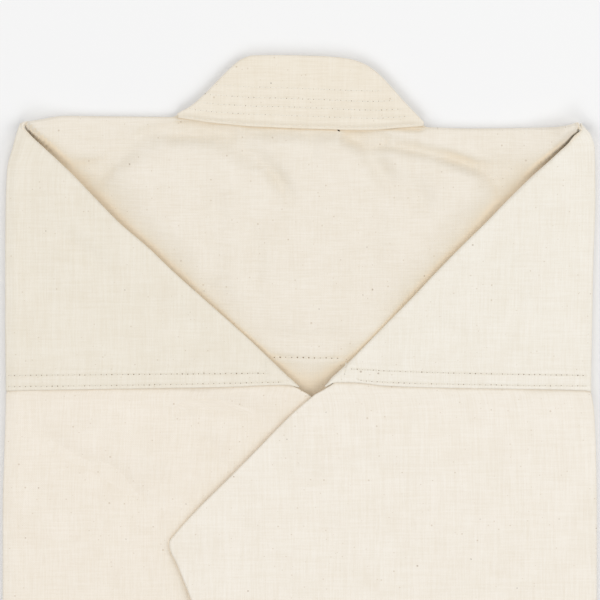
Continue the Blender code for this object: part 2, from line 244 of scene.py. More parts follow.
# The collar's rows: how far above the sewn edge, at the middle and near the ends
CollarRow = namedtuple("CollarRow", "middle ends reach")
COLLAR_ROWS = (
    CollarRow(1.7, 1.5, 70.0),
    CollarRow(7.6, 6.5, 66.0),
    CollarRow(12.7, 11.2, 62.0),
    CollarRow(17.8, 16.6, 57.0),
    CollarRow(24.1, 22.8, 50.0),
)

# Soft folds: through three places, with their half width and height (a trough is negative)
BACK_FOLDS = (
    Fold(-134.0, 341.0, -114.0, 356.2, -86.0, 369.0, 9.0, -6.6),
    Fold(-98.0, 368.4, -67.2, 373.0, -38.4, 366.4, 7.6, -6.4),
    Fold(-130.0, 352.0, -112.0, 364.0, -88.0, 375.5, 5.0, 1.8),
    Fold(-104.0, 374.0, -66.0, 379.0, -34.0, 374.6, 4.0, 2.6),
    Fold(-50.0, 367.2, -34.0, 361.2, -22.8, 350.2, 7.8, -3.8),
    Fold(-27.0, 356.2, -14.0, 345.2, -4.4, 326.2, 4.7, -3.2),
    Fold(4.8, 373.0, 6.5, 362.0, 5.0, 348.0, 4.4, -1.4),
    Fold(24.0, 370.0, 36.2, 367.0, 54.2, 366.0, 6.5, -4.1),
    Fold(46.0, 364.4, 84.0, 357.6, 126.0, 343.8, 4.6, -3.6),
    Fold(50.0, 369.2, 84.0, 362.8, 126.0, 348.4, 4.8, 2.2),
    Fold(106.0, 348.0, 122.0, 344.0, 132.0, 338.0, 8.0, -3.6),
    Fold(40.0, 375.0, 76.0, 373.0, 118.0, 366.0, 6.0, 1.3),
    Fold(36.2, 366.0, 46.8, 351.2, 60.8, 332.0, 6.8, -3.5),
    Fold(60.0, 346.0, 72.0, 334.0, 76.0, 322.0, 7.5, -2.3),
    Fold(-53.0, 348.0, -51.0, 310.0, -52.0, 262.0, 7.5, -1.7),
    Fold(-28.0, 318.0, -27.0, 292.0, -26.0, 262.0, 6.0, -1.4),
    Fold(33.0, 304.0, 34.0, 288.0, 33.0, 270.0, 6.0, -1.4),
    Fold(45.0, 336.0, 44.0, 300.0, 43.0, 262.0, 7.5, -1.2),
    Fold(-24.0, 254.0, 2.0, 248.0, 28.0, 252.0, 6.0, -1.6),
    Fold(-90.0, 352.0, -40.0, 344.0, 8.0, 356.0, 12.0, 1.2),
    Fold(70.0, 340.0, 96.0, 334.0, 118.0, 336.0, 11.5, 1.6),
)
LEFT_TURN_FOLDS = (
    Fold(-150.0, 318.0, -132.0, 302.0, -112.0, 286.0, 6.0, -1.4),
    Fold(-166.0, 300.0, -156.0, 280.0, -150.0, 262.0, 7.2, -0.9),
    Fold(-96.0, 270.0, -74.0, 262.0, -58.0, 246.0, 7.2, -0.9),
    Fold(-150.0, 342.0, -144.0, 322.0, -150.0, 300.0, 9.6, 0.9),
    Fold(-88.0, 240.0, -60.0, 238.0, -36.0, 240.0, 7.2, 0.9),
)
RIGHT_TURN_FOLDS = (
    Fold(128.0, 302.0, 124.0, 284.0, 118.0, 262.0, 6.0, -1.5),
    Fold(138.0, 296.0, 133.0, 276.0, 130.0, 254.0, 4.8, -0.9),
    Fold(78.0, 262.0, 90.0, 252.0, 104.0, 250.0, 7.2, -0.9),
    Fold(156.0, 344.0, 152.0, 324.0, 155.0, 300.0, 9.6, 0.9),
    Fold(64.0, 250.0, 80.0, 240.0, 96.0, 243.0, 7.2, 0.6),
)
LEFT_SLEEVE_FOLDS = (
    Fold(-84.0, 194.0, -68.0, 208.0, -44.0, 206.0, 6.0, -2.2),
    Fold(-60.0, 210.0, -38.0, 206.0, -16.0, 200.0, 6.0, -2.1),
    Fold(-160.0, 200.0, -140.0, 178.0, -98.0, 166.0, 7.2, -2.1),
    Fold(-126.0, 172.0, -104.0, 158.0, -82.0, 140.0, 6.0, -1.8),
    Fold(-58.0, 190.0, -52.0, 182.0, -46.0, 172.0, 4.8, -1.5),
    Fold(-96.0, 182.0, -84.0, 176.0, -78.0, 188.0, 8.4, 1.8),
    Fold(-150.0, 206.0, -120.0, 204.0, -96.0, 200.0, 9.6, 1.2),
    Fold(-150.0, 120.0, -136.0, 70.0, -142.0, 10.0, 9.6, -1.5),
    Fold(-70.0, 96.0, -62.0, 50.0, -68.0, -20.0, 8.4, -1.4),
    Fold(-120.0, -30.0, -96.0, -70.0, -100.0, -140.0, 10.8, -1.8),
    Fold(-50.0, -60.0, -64.0, -110.0, -58.0, -170.0, 9.6, 1.4),
)
RIGHT_SLEEVE_FOLDS = (
    Fold(58.0, 214.0, 66.0, 208.0, 66.0, 196.0, 4.8, -1.0),
    Fold(136.0, 214.0, 132.0, 204.0, 136.0, 190.0, 6.0, -0.9),
    Fold(-6.0, 186.0, 8.0, 180.0, 16.0, 168.0, 10.8, 1.4),
    Fold(20.0, 170.0, 52.0, 166.0, 78.0, 150.0, 10.8, -1.0),
    Fold(60.0, 196.0, 92.0, 180.0, 130.0, 176.0, 10.8, 0.9),
    Fold(-30.0, 150.0, -10.0, 132.0, 0.0, 108.0, 9.6, 0.9),
    Fold(4.0, 150.0, 20.0, 128.0, 18.0, 96.0, 8.4, -0.9),
    Fold(96.0, 150.0, 112.0, 120.0, 108.0, 84.0, 10.8, -1.0),
    Fold(140.0, 60.0, 126.0, 10.0, 134.0, -50.0, 9.6, -1.3),
    Fold(36.0, 40.0, 52.0, -20.0, 44.0, -90.0, 10.8, -1.3),
    Fold(92.0, -20.0, 80.0, -80.0, 88.0, -150.0, 9.6, 1.0),
)
SIDE_FOLDS = {
    LEFT: (
        Fold(-150.0, -270.0, -120.0, -300.0, -126.0, -350.0, 7.4, -1.6),
        Fold(-70.0, -262.0, -60.0, -310.0, -74.0, -370.0, 6.4, -1.3),
    ),
    RIGHT: (
        Fold(146.0, -266.0, 120.0, -310.0, 130.0, -360.0, 7.2, -1.5),
        Fold(60.0, -280.0, 76.0, -320.0, 66.0, -376.0, 6.2, -1.3),
    ),
}
TURN_FOLDS = {LEFT: LEFT_TURN_FOLDS, RIGHT: RIGHT_TURN_FOLDS}
SLEEVE_FOLDS = {LEFT: LEFT_SLEEVE_FOLDS, RIGHT: RIGHT_SLEEVE_FOLDS}

# Where the back starts to swell: how far below the shoulder line
Start = namedtuple("Start", "x below")
SWELL_START = (
    Start(-150.0, 17.0),
    Start(-120.0, 15.0),
    Start(-100.0, 10.0),
    Start(-86.0, 3.0),
    Start(-52.0, 2.6),
    Start(-36.0, 6.0),
    Start(0.0, 4.0),
    Start(27.0, 4.0),
    Start(46.0, 7.0),
    Start(64.0, 8.0),
    Start(78.0, 9.0),
    Start(92.0, 14.5),
    Start(104.0, 19.5),
    Start(124.0, 22.0),
    Start(150.0, 20.0),
)

# The valley beside each diagonal fold: the ridge up to the shoulder tip, the valley's
# width, and how much steeper the back rises from its middle and from its foot
Valley = namedtuple("Valley", "ridge ridge_length width steep_middle steep_foot")
VALLEYS = {
    LEFT: Valley(4.4, 46.0, 4.6, 0.32, 0.0),
    RIGHT: Valley(6.2, 56.0, 3.6, 0.42, 0.20),
}

# The rim round a shoulder tip: on the shoulder line, at the tip, and its end down the side
OnShoulder = namedtuple("OnShoulder", "inwards drop z radius")
RIM_ON_SHOULDER = (
    OnShoulder(15.0, 1.3, 4.4, 0.7),
    OnShoulder(9.0, 1.3, 5.9, 1.0),
    OnShoulder(4.5, 1.2, 7.4, 1.2),
)
AtTip = namedtuple("AtTip", "inwards y z radius")
RIM_AT_TIP = (AtTip(1.5, 376.9, 8.3, 1.25), AtTip(1.4, 375.0, 7.9, 1.1))
RIM_END = AtTip(2.2, 371.5, 6.6, 0.8)
RIM_RINGS = 34
RIM_GIRTH = 12
RIM_SMOOTHINGS = 3

# The dent that a row of stitches pulls into the cloth, and the soft welt beside it
Dent = namedtuple("Dent", "depth width welt welt_at welt_width")
BACK_DENT = Dent(0.22, 1.0, 0.12, 3.0, 1.6)
ARMHOLE_DENT = Dent(0.28, 0.75, 0.098, 2.4, 1.3)
COLLAR_DENT = Dent(0.22, 0.75, 0.10, 2.6, 1.2)
BAND_DENT = Dent(0.3, 0.8, 0.0, 0.0, 1.0)

# The fronts' rim, seen as two layers from its side: heights, and how far inwards
Ring = namedtuple("Ring", "z inset")
FRONT_RINGS = (
    Ring(0.0, 0.6),
    Ring(0.15, 0.2),
    Ring(0.5, 0.0),
    Ring(0.9, 0.05),
    Ring(1.15, 0.4),
    Ring(1.25, 1.6),
    Ring(1.45, 1.6),
    Ring(1.55, 0.4),
    Ring(1.8, 0.05),
    Ring(2.2, 0.0),
    Ring(2.55, 0.2),
    Ring(2.7, 0.6),
)


def top_of(layer):
    return layer * LAYER + PLY


def middle_of(layer):
    return layer * LAYER + PLY / 2


def eased(value, low, high):
    """A smooth step from 0 at low to 1 at high."""
    share = np.clip((np.asarray(value, float) - low) / (high - low), 0.0, 1.0)
    return share * share * (3.0 - 2.0 * share)


def fading(value, low, high):
    """A smooth step from 1 at low to 0 at high."""
    return 1.0 - eased(value, low, high)


def from_share(least, value):
    """A value from 0 to 1, brought to run from its least share to 1."""
    return least + (1.0 - least) * value


def hump(away, reach):
    """A soft hump: 1 in its middle, fading on both sides over its reach."""
    return np.exp(-((away / reach) ** 2))


def dented(away, dent):
    """How a row of stitches pulls the cloth down, and raises it a little beside the row."""
    return dent.welt * hump(away - dent.welt_at, dent.welt_width) - dent.depth * hump(away, dent.width)


def smooth_curve(table, key, column):
    """A function through a table's column that is smooth and never overshoots."""
    rows = sorted(table, key=lambda row: getattr(row, key))
    place = np.array([getattr(row, key) for row in rows], float)
    value = np.array([getattr(row, column) for row in rows], float)
    step = np.diff(place)
    slope = np.diff(value) / step
    product = slope[:-1] * slope[1:]
    total = slope[:-1] + slope[1:]
    inner = np.where(product > 0, 2 * product / np.where(total == 0, 1.0, total), 0.0)
    tangent = np.concatenate([slope[:1], inner, slope[-1:]])

    def at(wanted):
        wanted = np.clip(np.asarray(wanted, float), place[0], place[-1])
        i = np.clip(np.searchsorted(place, wanted) - 1, 0, len(step) - 1)
        t = (wanted - place[i]) / step[i]
        return (
            value[i] * (1 + 2 * t) * (1 - t) ** 2
            + value[i + 1] * t * t * (3 - 2 * t)
            + step[i] * (tangent[i] * t * (1 - t) ** 2 - tangent[i + 1] * t * t * (1 - t))
        )

    return at


SIDE_EDGE = {side: smooth_curve(SIDES, "y", LABEL[side]) for side in BOTH}
TURN_EDGE = {side: smooth_curve(TURNS, "y", LABEL[side]) for side in BOTH}
LAP_EDGE = smooth_curve(LAPS, "x", "y")
SHOULDER_EDGE = smooth_curve(SHOULDER, "x", "y")
COLLAR_SEAM = smooth_curve(COLLAR, "x", "seam_y")
COLLAR_TOP_EDGE = smooth_curve(COLLAR, "x", "top_y")
SWELL_FROM = smooth_curve(SWELL_START, "x", "below")


def turn_path(side, ys):
    """A turned sleeve's inner edge as a path in plan."""
    return np.stack([TURN_EDGE[side](ys), ys], axis=1)


DIAGONALS = {side: turn_path(side, np.arange(CROSSING_Y, 377.5, 4.0)) for side in BOTH}
LEFT_INNER = turn_path(LEFT, np.arange(CUFF_Y, CROSSING_Y + 0.1, 6.0))
TIPS = {side: np.array([SIDE_EDGE[side](377.4), 377.6]) for side in BOTH}


def path_points(row, count=25):
    """Places along the smooth curve that passes through a row's three places."""
    t = np.linspace(0.0, 1.0, count)
    middle_x = 2 * row.x2 - (row.x1 + row.x3) / 2
    middle_y = 2 * row.y2 - (row.y1 + row.y3) / 2
    x = (1 - t) ** 2 * row.x1 + 2 * t * (1 - t) * middle_x + t * t * row.x3
    y = (1 - t) ** 2 * row.y1 + 2 * t * (1 - t) * middle_y + t * t * row.y3
    return np.stack([x, y], axis=1)


def near_path(path, x, y):
    """The distance from each plan point to a path, and how far along it (0 to 1)."""
    nearest = np.full(np.shape(x), np.inf)
    place = np.zeros(np.shape(x))
    for i, (a, b) in enumerate(zip(path, path[1:])):
        run = b - a
        along = ((x - a[0]) * run[0] + (y - a[1]) * run[1]) / (run @ run + 1e-9)
        along = np.clip(along, 0.0, 1.0)
        away = np.hypot(x - a[0] - along * run[0], y - a[1] - along * run[1])
        closer = away < nearest
        nearest = np.where(closer, away, nearest)
        place = np.where(closer, (i + along) / (len(path) - 1), place)
    return nearest, place


def inside_diagonal(side, x, y):
    """How far plan points lie inside a diagonal fold; past it the distance is negative."""
    away, _ = near_path(DIAGONALS[side], x, y)
    return np.where((TURN_EDGE[side](y) - x) * side > 0, away, -away)


def relief(folds, x, y):
    """How far the soft folds lift the cloth at plan points."""
    total = np.zeros(np.shape(x))
    for fold in folds:
        away, place = near_path(path_points(fold, 13), x, y)
        taper = np.sin(np.pi * place) ** 0.8
        total += fold.height * taper * hump(away, fold.width)
    return total


# The waves in cloth that lies by its own weight, from broad to fine
Wave = namedtuple("Wave", "length share seed")
WAVES = (Wave(46.0, 1.0, 0.0), Wave(17.0, 0.35, 9.0), Wave(6.0, 0.10, 17.0))

# How uneven each kind of cloth lies: the seed of its waves, and their size
Lie = namedtuple("Lie", "seed size")
BACK_LIE = Lie(3.0, 0.35)
TURN_LIE = Lie(21.0, 0.28)
SLEEVE_LIE = Lie(41.0, 0.5)
SIDE_LIE = Lie(61.0, 0.3)
COLLAR_LIE = Lie(77.0, 0.22)


def unevenness(x, y, lie, side=0):
    """How uneven the cloth lies at plan points."""
    seed = lie.seed + side
    values = [
        sum(
            wave.share * noise.noise(Vector((px / wave.length, py / wave.length, seed + wave.seed)))
            for wave in WAVES
        )
        for px, py in zip(np.ravel(x), np.ravel(y))
    ]
    return lie.size * np.array(values).reshape(np.shape(x))


def spaced(stops, low, high):
    """Places from low to high: close together from each stop's start to its end."""
    places = [low]
    while places[-1] < high:
        at = places[-1]
        step = COARSE
        for start, end, fine in stops:
            if start <= at < end:
                step = min(step, fine)
            elif at < start:
                step = min(step, max(fine, (start - at) * 0.6))
        places.append(at + step)
    places = np.array(places)
    return low + (places - low) * (high - low) / (places[-1] - low)


def lift(side, x, y):
    """How far the right sleeve is lifted where it lies over the left one."""
    if side == LEFT:
        return np.zeros(np.shape(x))
    away, _ = near_path(LEFT_INNER, x, y)
    over = (y <= CROSSING_Y) & (x <= TURN_EDGE[LEFT](y))
    height = np.where(over, LIFT, LIFT * fading(away, LIFT_FLAT, LIFT_END))
    corner = np.hypot(x - RIGHT_CORNER[0], y - RIGHT_CORNER[1])
    return height * from_share(CORNER_SHARE, eased(corner, *CORNER_REACH))


# The canvas

# Painted shade: how far the cloth's colour is darkened and warmed between its folds, where shade falls,
# from a slight hollow to a narrow gap
Shade = namedtuple("Shade", "depth red green blue")
PAINTED_FOLD_SHADES = (
    Shade(0.0, 1.0, 1.0, 1.0),
    Shade(0.10, 0.930, 0.937, 0.930),
    Shade(0.40, 0.880, 0.880, 0.855),
    Shade(0.75, 0.97, 0.92, 0.84),
    Shade(1.0, 1.02, 0.94, 0.82),
)
# How far the painted shade looks for nearby cloth, and how open or deep a fold is for none or all of it; it
# is painted only on faces that lie flat, not on steep ones
PAINTED_SHADE_REACH = 0.030
OPEN_CLOTH, DEEP_FOLD = 0.995, 0.74
STEEP_CLOTH, LYING_CLOTH = 0.45, 0.85

CREAM_DARK = (0.660, 0.580, 0.450)
CREAM = (0.745, 0.680, 0.560)
CREAM_LIGHT = (0.812, 0.762, 0.660)
SEED = (0.28, 0.19, 0.11)
SEED_PALE = (0.50, 0.40, 0.28)
HUSK = (0.050, 0.030, 0.018)
THREAD_PITCH = 0.56

# The flecks in the canvas: how they are stretched, how far apart and how large they are, the
# share of places that has one, how strongly they show and their colour
Fleck = namedtuple("Fleck", "name stretch spacing radius share strength colour")
FLECKS = (
    Fleck("speck", (1.0, 0.8, 1.3), 2.7, 0.40, 0.30, 0.40, SEED_PALE),
    Fleck("pale", (1.0, 1.0, 1.0), 4.6, 0.58, 0.20, 0.50, SEED_PALE),
    Fleck("dark", (1.1, 0.9, 1.0), 8.5, 0.60, 0.18, 0.52, SEED),
)
SMALLEST_FLECK = 0.35
FLECK_CORE = 0.55

CLOTH_FINISH = {
    "Specular IOR Level": 0.18,
    "Sheen Weight": 0.12,
    "Sheen Roughness": 0.6,
    "Metallic": 0.0,
}
WEAVE_DEPTH = 0.5

# Each piece's canvas: whether its threads are turned, where on the cloth it was cut, its tone with painted
# light (the pieces on the right are made lighter, as though more light fell on them), and how strongly
# painted shade warms and darkens it between its folds
Canvas = namedtuple("Canvas", "name turned shift tint warm")
CANVASES = (
    Canvas("back", False, 3.1, (1.020, 1.018, 1.046), 1.0),
    Canvas("left shoulder", True, 11.7, (1.000, 1.003, 1.018), 0.45),
    Canvas("right shoulder", True, 27.3, (1.039, 1.058, 1.108), 0.45),
    Canvas("left sleeve", True, 43.9, (1.044, 1.034, 1.062), 0.45),
    Canvas("right sleeve", True, 58.2, (1.050, 1.056, 1.103), 0.45),
    Canvas("fronts", False, 71.4, (1.030, 1.022, 1.050), 0.45),
    Canvas("collar", False, 88.8, (1.018, 1.006, 1.004), 0.2),
)


class Nodes:
    """A short way to add and join a tree's nodes."""

    def __init__(self, tree):
        self.tree = tree

    def add(self, kind, **values):
        node = self.tree.nodes.new(kind)
        for key, value in values.items():
            setattr(node, key, value)
        return node

    def join(self, source, target):
        self.tree.links.new(source, target)

    def fill(self, socket, value):
        """Joins a socket to another one, or gives it a number or a colour."""
        if isinstance(value, (int, float)):
            socket.default_value = value
        elif isinstance(value, tuple):
            socket.default_value = (*value, 1.0)
        else:
            self.join(value, socket)

    def math(self, operation, a, b=None):
        node = self.add("ShaderNodeMath", operation=operation)
        self.fill(node.inputs[0], a)
        if b is not None:
            self.fill(node.inputs[1], b)
        return node.outputs[0]

    def weighted(self, parts):
        """The sum of some values, each times its weight."""
        total = None
        for value, weight in parts:
            part = self.math("MULTIPLY", value, weight)
            total = part if total is None else self.math("ADD", total, part)
        return total

    def scaled(self, vector, scale):
        node = self.add("ShaderNodeVectorMath", operation="MULTIPLY")
        self.join(vector, node.inputs[0])
        node.inputs[1].default_value = scale
        return node.outputs[0]

    def noise(self, vector, scale, detail, roughness=0.5):
        node = self.add("ShaderNodeTexNoise")
        self.join(vector, node.inputs["Vector"])
        node.inputs["Scale"].default_value = scale
        node.inputs["Detail"].default_value = detail
        node.inputs["Roughness"].default_value = roughness
        return node.outputs["Fac"]

    def ranged(self, value, low, high, to_low=0.0, to_high=1.0, way="SMOOTHSTEP"):
        node = self.add("ShaderNodeMapRange", interpolation_type=way)
        self.join(value, node.inputs["Value"])
        node.inputs["From Min"].default_value = low
        node.inputs["From Max"].default_value = high
        node.inputs["To Min"].default_value = to_low
        node.inputs["To Max"].default_value = to_high
        return node.outputs[0]

    def mixed(self, factor, a, b, blend="MIX"):
        node = self.add("ShaderNodeMix", data_type="RGBA", blend_type=blend)
        self.fill(node.inputs[0], factor)
        self.fill(node.inputs[6], a)
        self.fill(node.inputs[7], b)
        return node.outputs[2]

    def flecks(self, vector, fleck):
        """A mask of small spots: one a cell, kept in the fleck's share of the cells."""
        node = self.add("ShaderNodeTexVoronoi", feature="F1")
        self.join(vector, node.inputs["Vector"])
        node.inputs["Scale"].default_value = 1.0 / fleck.spacing
        split = self.add("ShaderNodeSeparateColor")
        self.join(node.outputs["Color"], split.inputs[0])
        size = self.math("MULTIPLY", split.outputs[1], fleck.radius / fleck.spacing)
        size = self.math("ADD", size, SMALLEST_FLECK * fleck.radius / fleck.spacing)
        inside = self.math("DIVIDE", node.outputs["Distance"], size)
        spot = self.ranged(inside, FLECK_CORE, 1.0, 1.0, 0.0)
        kept = self.math("LESS_THAN", split.outputs[0], fleck.share)
        return self.math("MULTIPLY", spot, kept)


def canvas_group():
    """The canvas: plain weave, slubs both ways, soft mottling and seed flecks."""
    group = bpy.data.node_groups.new("Cotton canvas", "ShaderNodeTree")
    group.interface.new_socket("Thread place", in_out="INPUT", socket_type="NodeSocketVector")
    group.interface.new_socket("Color", in_out="OUTPUT", socket_type="NodeSocketColor")
    group.interface.new_socket("Roughness", in_out="OUTPUT", socket_type="NodeSocketFloat")
    group.interface.new_socket("Height", in_out="OUTPUT", socket_type="NodeSocketFloat")
    nodes = Nodes(group)
    start = nodes.add("NodeGroupInput").outputs[0]
    end = nodes.add("NodeGroupOutput")

    slub_across = nodes.noise(nodes.scaled(start, (0.06, 1.15, 1.0)), 1.0, 2.0)
    slub_along = nodes.noise(nodes.scaled(start, (1.05, 0.055, 1.0)), 1.0, 2.0)
    thick_across = nodes.noise(nodes.scaled(start, (0.11, 0.62, 1.7)), 1.0, 1.0)
    mottle = nodes.noise(start, 0.055, 3.0, 0.6)
    grain = nodes.noise(start, 1.5, 2.0, 0.6)

    split = nodes.add("ShaderNodeSeparateXYZ")
    nodes.join(start, split.inputs[0])
    wave = math.pi / THREAD_PITCH
    drift = nodes.math("MULTIPLY", slub_across, 2.2)
    across = nodes.math("ADD", nodes.math("MULTIPLY", split.outputs[0], wave), drift)
    along = nodes.math("ADD", nodes.math("MULTIPLY", split.outputs[1], wave), drift)
    checks = nodes.math("MULTIPLY", nodes.math("SINE", across), nodes.math("SINE", along))

    shade = nodes.weighted([(slub_across, 0.34), (slub_along, 0.26), (mottle, 0.22), (grain, 0.18)])
    cloth = nodes.mixed(nodes.ranged(shade, 0.30, 0.70), CREAM, CREAM_LIGHT)
    cloth = nodes.mixed(nodes.ranged(thick_across, 0.62, 0.80, 0.0, 0.14), cloth, CREAM_DARK)

    spots = {}
    for fleck in FLECKS:
        spots[fleck.name] = nodes.flecks(nodes.scaled(start, fleck.stretch), fleck)
        shown = nodes.math("MULTIPLY", spots[fleck.name], fleck.strength)
        cloth = nodes.mixed(shown, cloth, fleck.colour)
    nodes.join(cloth, end.inputs["Color"])
    nodes.join(nodes.ranged(grain, 0.2, 0.8, 0.86, 0.97), end.inputs["Roughness"])
    height = nodes.weighted([
        (checks, 0.045),
        (slub_across, 0.10),
        (slub_along, 0.08),
        (grain, 0.05),
        (mottle, 0.35),
        (spots["pale"], 0.05),
    ])
    nodes.join(height, end.inputs["Height"])
    return group


CANVAS_WEAVE = canvas_group()


def cloth_material(canvas):
    """Unbleached canvas, along the cloth's own threads, with painted shade between its folds."""
    material = bpy.data.materials.new(f"Canvas of the {canvas.name}")
    material.use_nodes = True
    nodes = Nodes(material.node_tree)
    shader = material.node_tree.nodes["Principled BSDF"]

    place = nodes.add("ShaderNodeUVMap", uv_map="Cloth")
    mapping = nodes.add("ShaderNodeMapping")
    mapping.inputs["Scale"].default_value = (1 / MM, 1 / MM, 1 / MM)
    mapping.inputs["Location"].default_value = (canvas.shift, canvas.shift * 0.7, canvas.shift * 0.3)
    if canvas.turned:
        mapping.inputs["Rotation"].default_value = (0.0, 0.0, math.radians(90.0))
    weave = nodes.add("ShaderNodeGroup", node_tree=CANVAS_WEAVE)
    nodes.join(place.outputs["UV"], mapping.inputs["Vector"])
    nodes.join(mapping.outputs["Vector"], weave.inputs["Thread place"])
    # Painted light: the piece's tone is multiplied in, lighter on the right-hand pieces where the light
    # falls more strongly
    toned_and_lit = nodes.mixed(1.0, weave.outputs["Color"], canvas.tint, "MULTIPLY")

    # Painted shade: the cloth is darkened and warmed where other cloth stands close, in its creases, beside
    # the diagonal folds and at its edges
    shade_occlusion = nodes.add("ShaderNodeAmbientOcclusion", samples=8)
    shade_occlusion.inputs["Distance"].default_value = PAINTED_SHADE_REACH
    depth = nodes.ranged(shade_occlusion.outputs["AO"], OPEN_CLOTH, DEEP_FOLD, way="LINEAR")
    painted_shades = nodes.add("ShaderNodeValToRGB")
    for number, shade in enumerate(PAINTED_FOLD_SHADES):
        stops = painted_shades.color_ramp.elements
        stop = stops[number] if number < 2 else stops.new(shade.depth)
        stop.position = shade.depth
        stop.color = (shade.red, shade.green, shade.blue, 1.0)
    nodes.join(depth, painted_shades.inputs["Fac"])
    face_way = nodes.add("ShaderNodeSeparateXYZ")
    nodes.join(nodes.add("ShaderNodeNewGeometry").outputs["Normal"], face_way.inputs["Vector"])
    lying = nodes.ranged(face_way.outputs["Z"], STEEP_CLOTH, LYING_CLOTH, way="LINEAR")
    painted_shade_share = nodes.math("MULTIPLY", canvas.warm, lying)
    colour = nodes.mixed(painted_shade_share, toned_and_lit, painted_shades.outputs["Color"], "MULTIPLY")

    bump = nodes.add("ShaderNodeBump")
    bump.inputs["Strength"].default_value = WEAVE_DEPTH
    bump.inputs["Distance"].default_value = MM
    nodes.join(weave.outputs["Height"], bump.inputs["Height"])
    nodes.join(colour, shader.inputs["Base Color"])
    nodes.join(weave.outputs["Roughness"], shader.inputs["Roughness"])
    nodes.join(bump.outputs["Normal"], shader.inputs["Normal"])
    for socket, value in CLOTH_FINISH.items():
        shader.inputs[socket].default_value = value
    return material


def plain_material(name, colour, roughness=0.9, grain=0.05):
    """A plain colour with a faint grain, for thread, husks and the floor."""
    material = bpy.data.materials.new(name)
    material.use_nodes = True
    nodes = Nodes(material.node_tree)
    shader = material.node_tree.nodes["Principled BSDF"]
    place = nodes.add("ShaderNodeTexCoord").outputs["Object"]
    speckle = nodes.noise(place, 900.0, 2.0)
    darker = tuple(channel * (1.0 - grain) for channel in colour)
    nodes.join(nodes.mixed(speckle, darker, colour), shader.inputs["Base Color"])
    nodes.join(nodes.ranged(speckle, 0.3, 0.7, roughness - 0.04, roughness), shader.inputs["Roughness"])
    shader.inputs["Specular IOR Level"].default_value = 0.2
    return material


# Meshes

def make_mesh(name, points, faces, uv, material):
    """An object from points in millimetres, with its faces turned outwards."""
    mesh = bpy.data.meshes.new(name)
    mesh.from_pydata((np.asarray(points) * MM).tolist(), [], faces)
    work = bmesh.new()
    work.from_mesh(mesh)
    bmesh.ops.recalc_face_normals(work, faces=work.faces)
    work.to_mesh(mesh)
    work.free()
    if uv is not None:
        layer = mesh.uv_layers.new(name="Cloth")
        corner = np.zeros(len(mesh.loops), int)
        mesh.loops.foreach_get("vertex_index", corner)
        layer.data.foreach_set("uv", (np.asarray(uv)[corner] * MM).ravel())
    mesh.shade_smooth()
    mesh.materials.append(material)
    made = bpy.data.objects.new(name, mesh)
    bpy.context.scene.collection.objects.link(made)
    return made


def unit(vectors):
    length = np.linalg.norm(vectors, axis=-1, keepdims=True)
    return vectors / np.maximum(length, 1e-9)


def cloth_lengths(points):
    """How far along its row each grid point lies in the flat cloth."""
    steps = np.linalg.norm(np.diff(points, axis=1), axis=2)
    return np.concatenate([np.zeros((len(points), 1)), np.cumsum(steps, axis=1)], axis=1)


# How far a rounded edge stands out, as a share of the cloth's thickness
ROUNDED = 0.42


def outer_edges(rows, columns, round_trip):
    """The grid places along each free edge: one loop round a sheet, two on a tube."""
    if round_trip:
        return [[(0, i) for i in range(columns)], [(rows - 1, i) for i in range(columns)]]
    edge = [(0, i) for i in range(columns)]
    edge += [(i, columns - 1) for i in range(1, rows)]
    edge += [(rows - 1, i) for i in range(columns - 2, -1, -1)]
    edge += [(i, 0) for i in range(rows - 2, 0, -1)]
    return [edge]


def thick_cloth(points, round_trip):
    """A wall of cloth about a grid of points at its middle, with rounded edges."""
    along = np.gradient(points, axis=0)
    if round_trip:
        across = (np.roll(points, -1, axis=1) - np.roll(points, 1, axis=1)) / 2
    else:
        across = np.gradient(points, axis=1)
    normal = unit(np.cross(across, along))
    upper = points + normal * CLOTH / 2
    lower = points - normal * CLOTH / 2
    rows, columns = points.shape[:2]
    count = rows * columns
    index = np.arange(count).reshape(rows, columns)
    right = np.roll(index, -1, axis=1) if round_trip else index[:, 1:]
    left = index if round_trip else index[:, :-1]
    quads = np.stack([left[:-1], right[:-1], right[1:], left[1:]], axis=-1).reshape(-1, 4)
    faces = quads.tolist() + (quads[:, ::-1] + count).tolist()
    rim_points = []
    rim_source = []
    for loop in outer_edges(rows, columns, round_trip):
        start = 2 * count + len(rim_points)
        for row, column in loop:
            out = np.zeros(3)
            if row == 0:
                out = out - unit(along[row, column])
            if row == rows - 1:
                out = out + unit(along[row, column])
            if column == 0 and not round_trip:
                out = out - unit(across[row, column])
            if column == columns - 1 and not round_trip:
                out = out + unit(across[row, column])
            rim_points.append(points[row, column] + unit(out) * CLOTH * ROUNDED)
            rim_source.append(index[row, column])
        for i in range(len(loop)):
            j = (i + 1) % len(loop)
            a, b = int(index[loop[i]]), int(index[loop[j]])
            rim_a, rim_b = start + i, start + j
            faces.append([a, b, rim_b, rim_a])
            faces.append([rim_a, rim_b, b + count, a + count])
    verts = np.concatenate([upper.reshape(-1, 3), lower.reshape(-1, 3), np.array(rim_points)])
    return verts, faces, np.array(rim_source)


def cloth_piece(name, points, material, round_trip=False, uv=None):
    """A named piece of cloth about a grid of points at its middle."""
    verts, faces, rim = thick_cloth(points, round_trip)
    if uv is None:
        uv = np.stack([cloth_lengths(points), points[:, :, 1]], axis=2)
    flat = uv.reshape(-1, 2)
    return make_mesh(name, verts, faces, np.concatenate([flat, flat, flat[rim]]), material)


def tube_faces(rows, count):
    """The faces of a tube of rings, closed at both its ends."""
    index = np.arange(rows * count).reshape(rows, count)
    after = np.roll(index, -1, axis=1)
    quads = np.stack([index[:-1], after[:-1], after[1:], index[1:]], axis=-1).reshape(-1, 4)
    return quads.tolist() + [index[0].tolist(), index[-1].tolist()]


def closed_tube(name, points, material):
    """A named piece from rings of points, closed at both its ends."""
    flat = points.reshape(-1, 3)
    return make_mesh(name, flat, tube_faces(*points.shape[:2]), flat[:, :2], material)


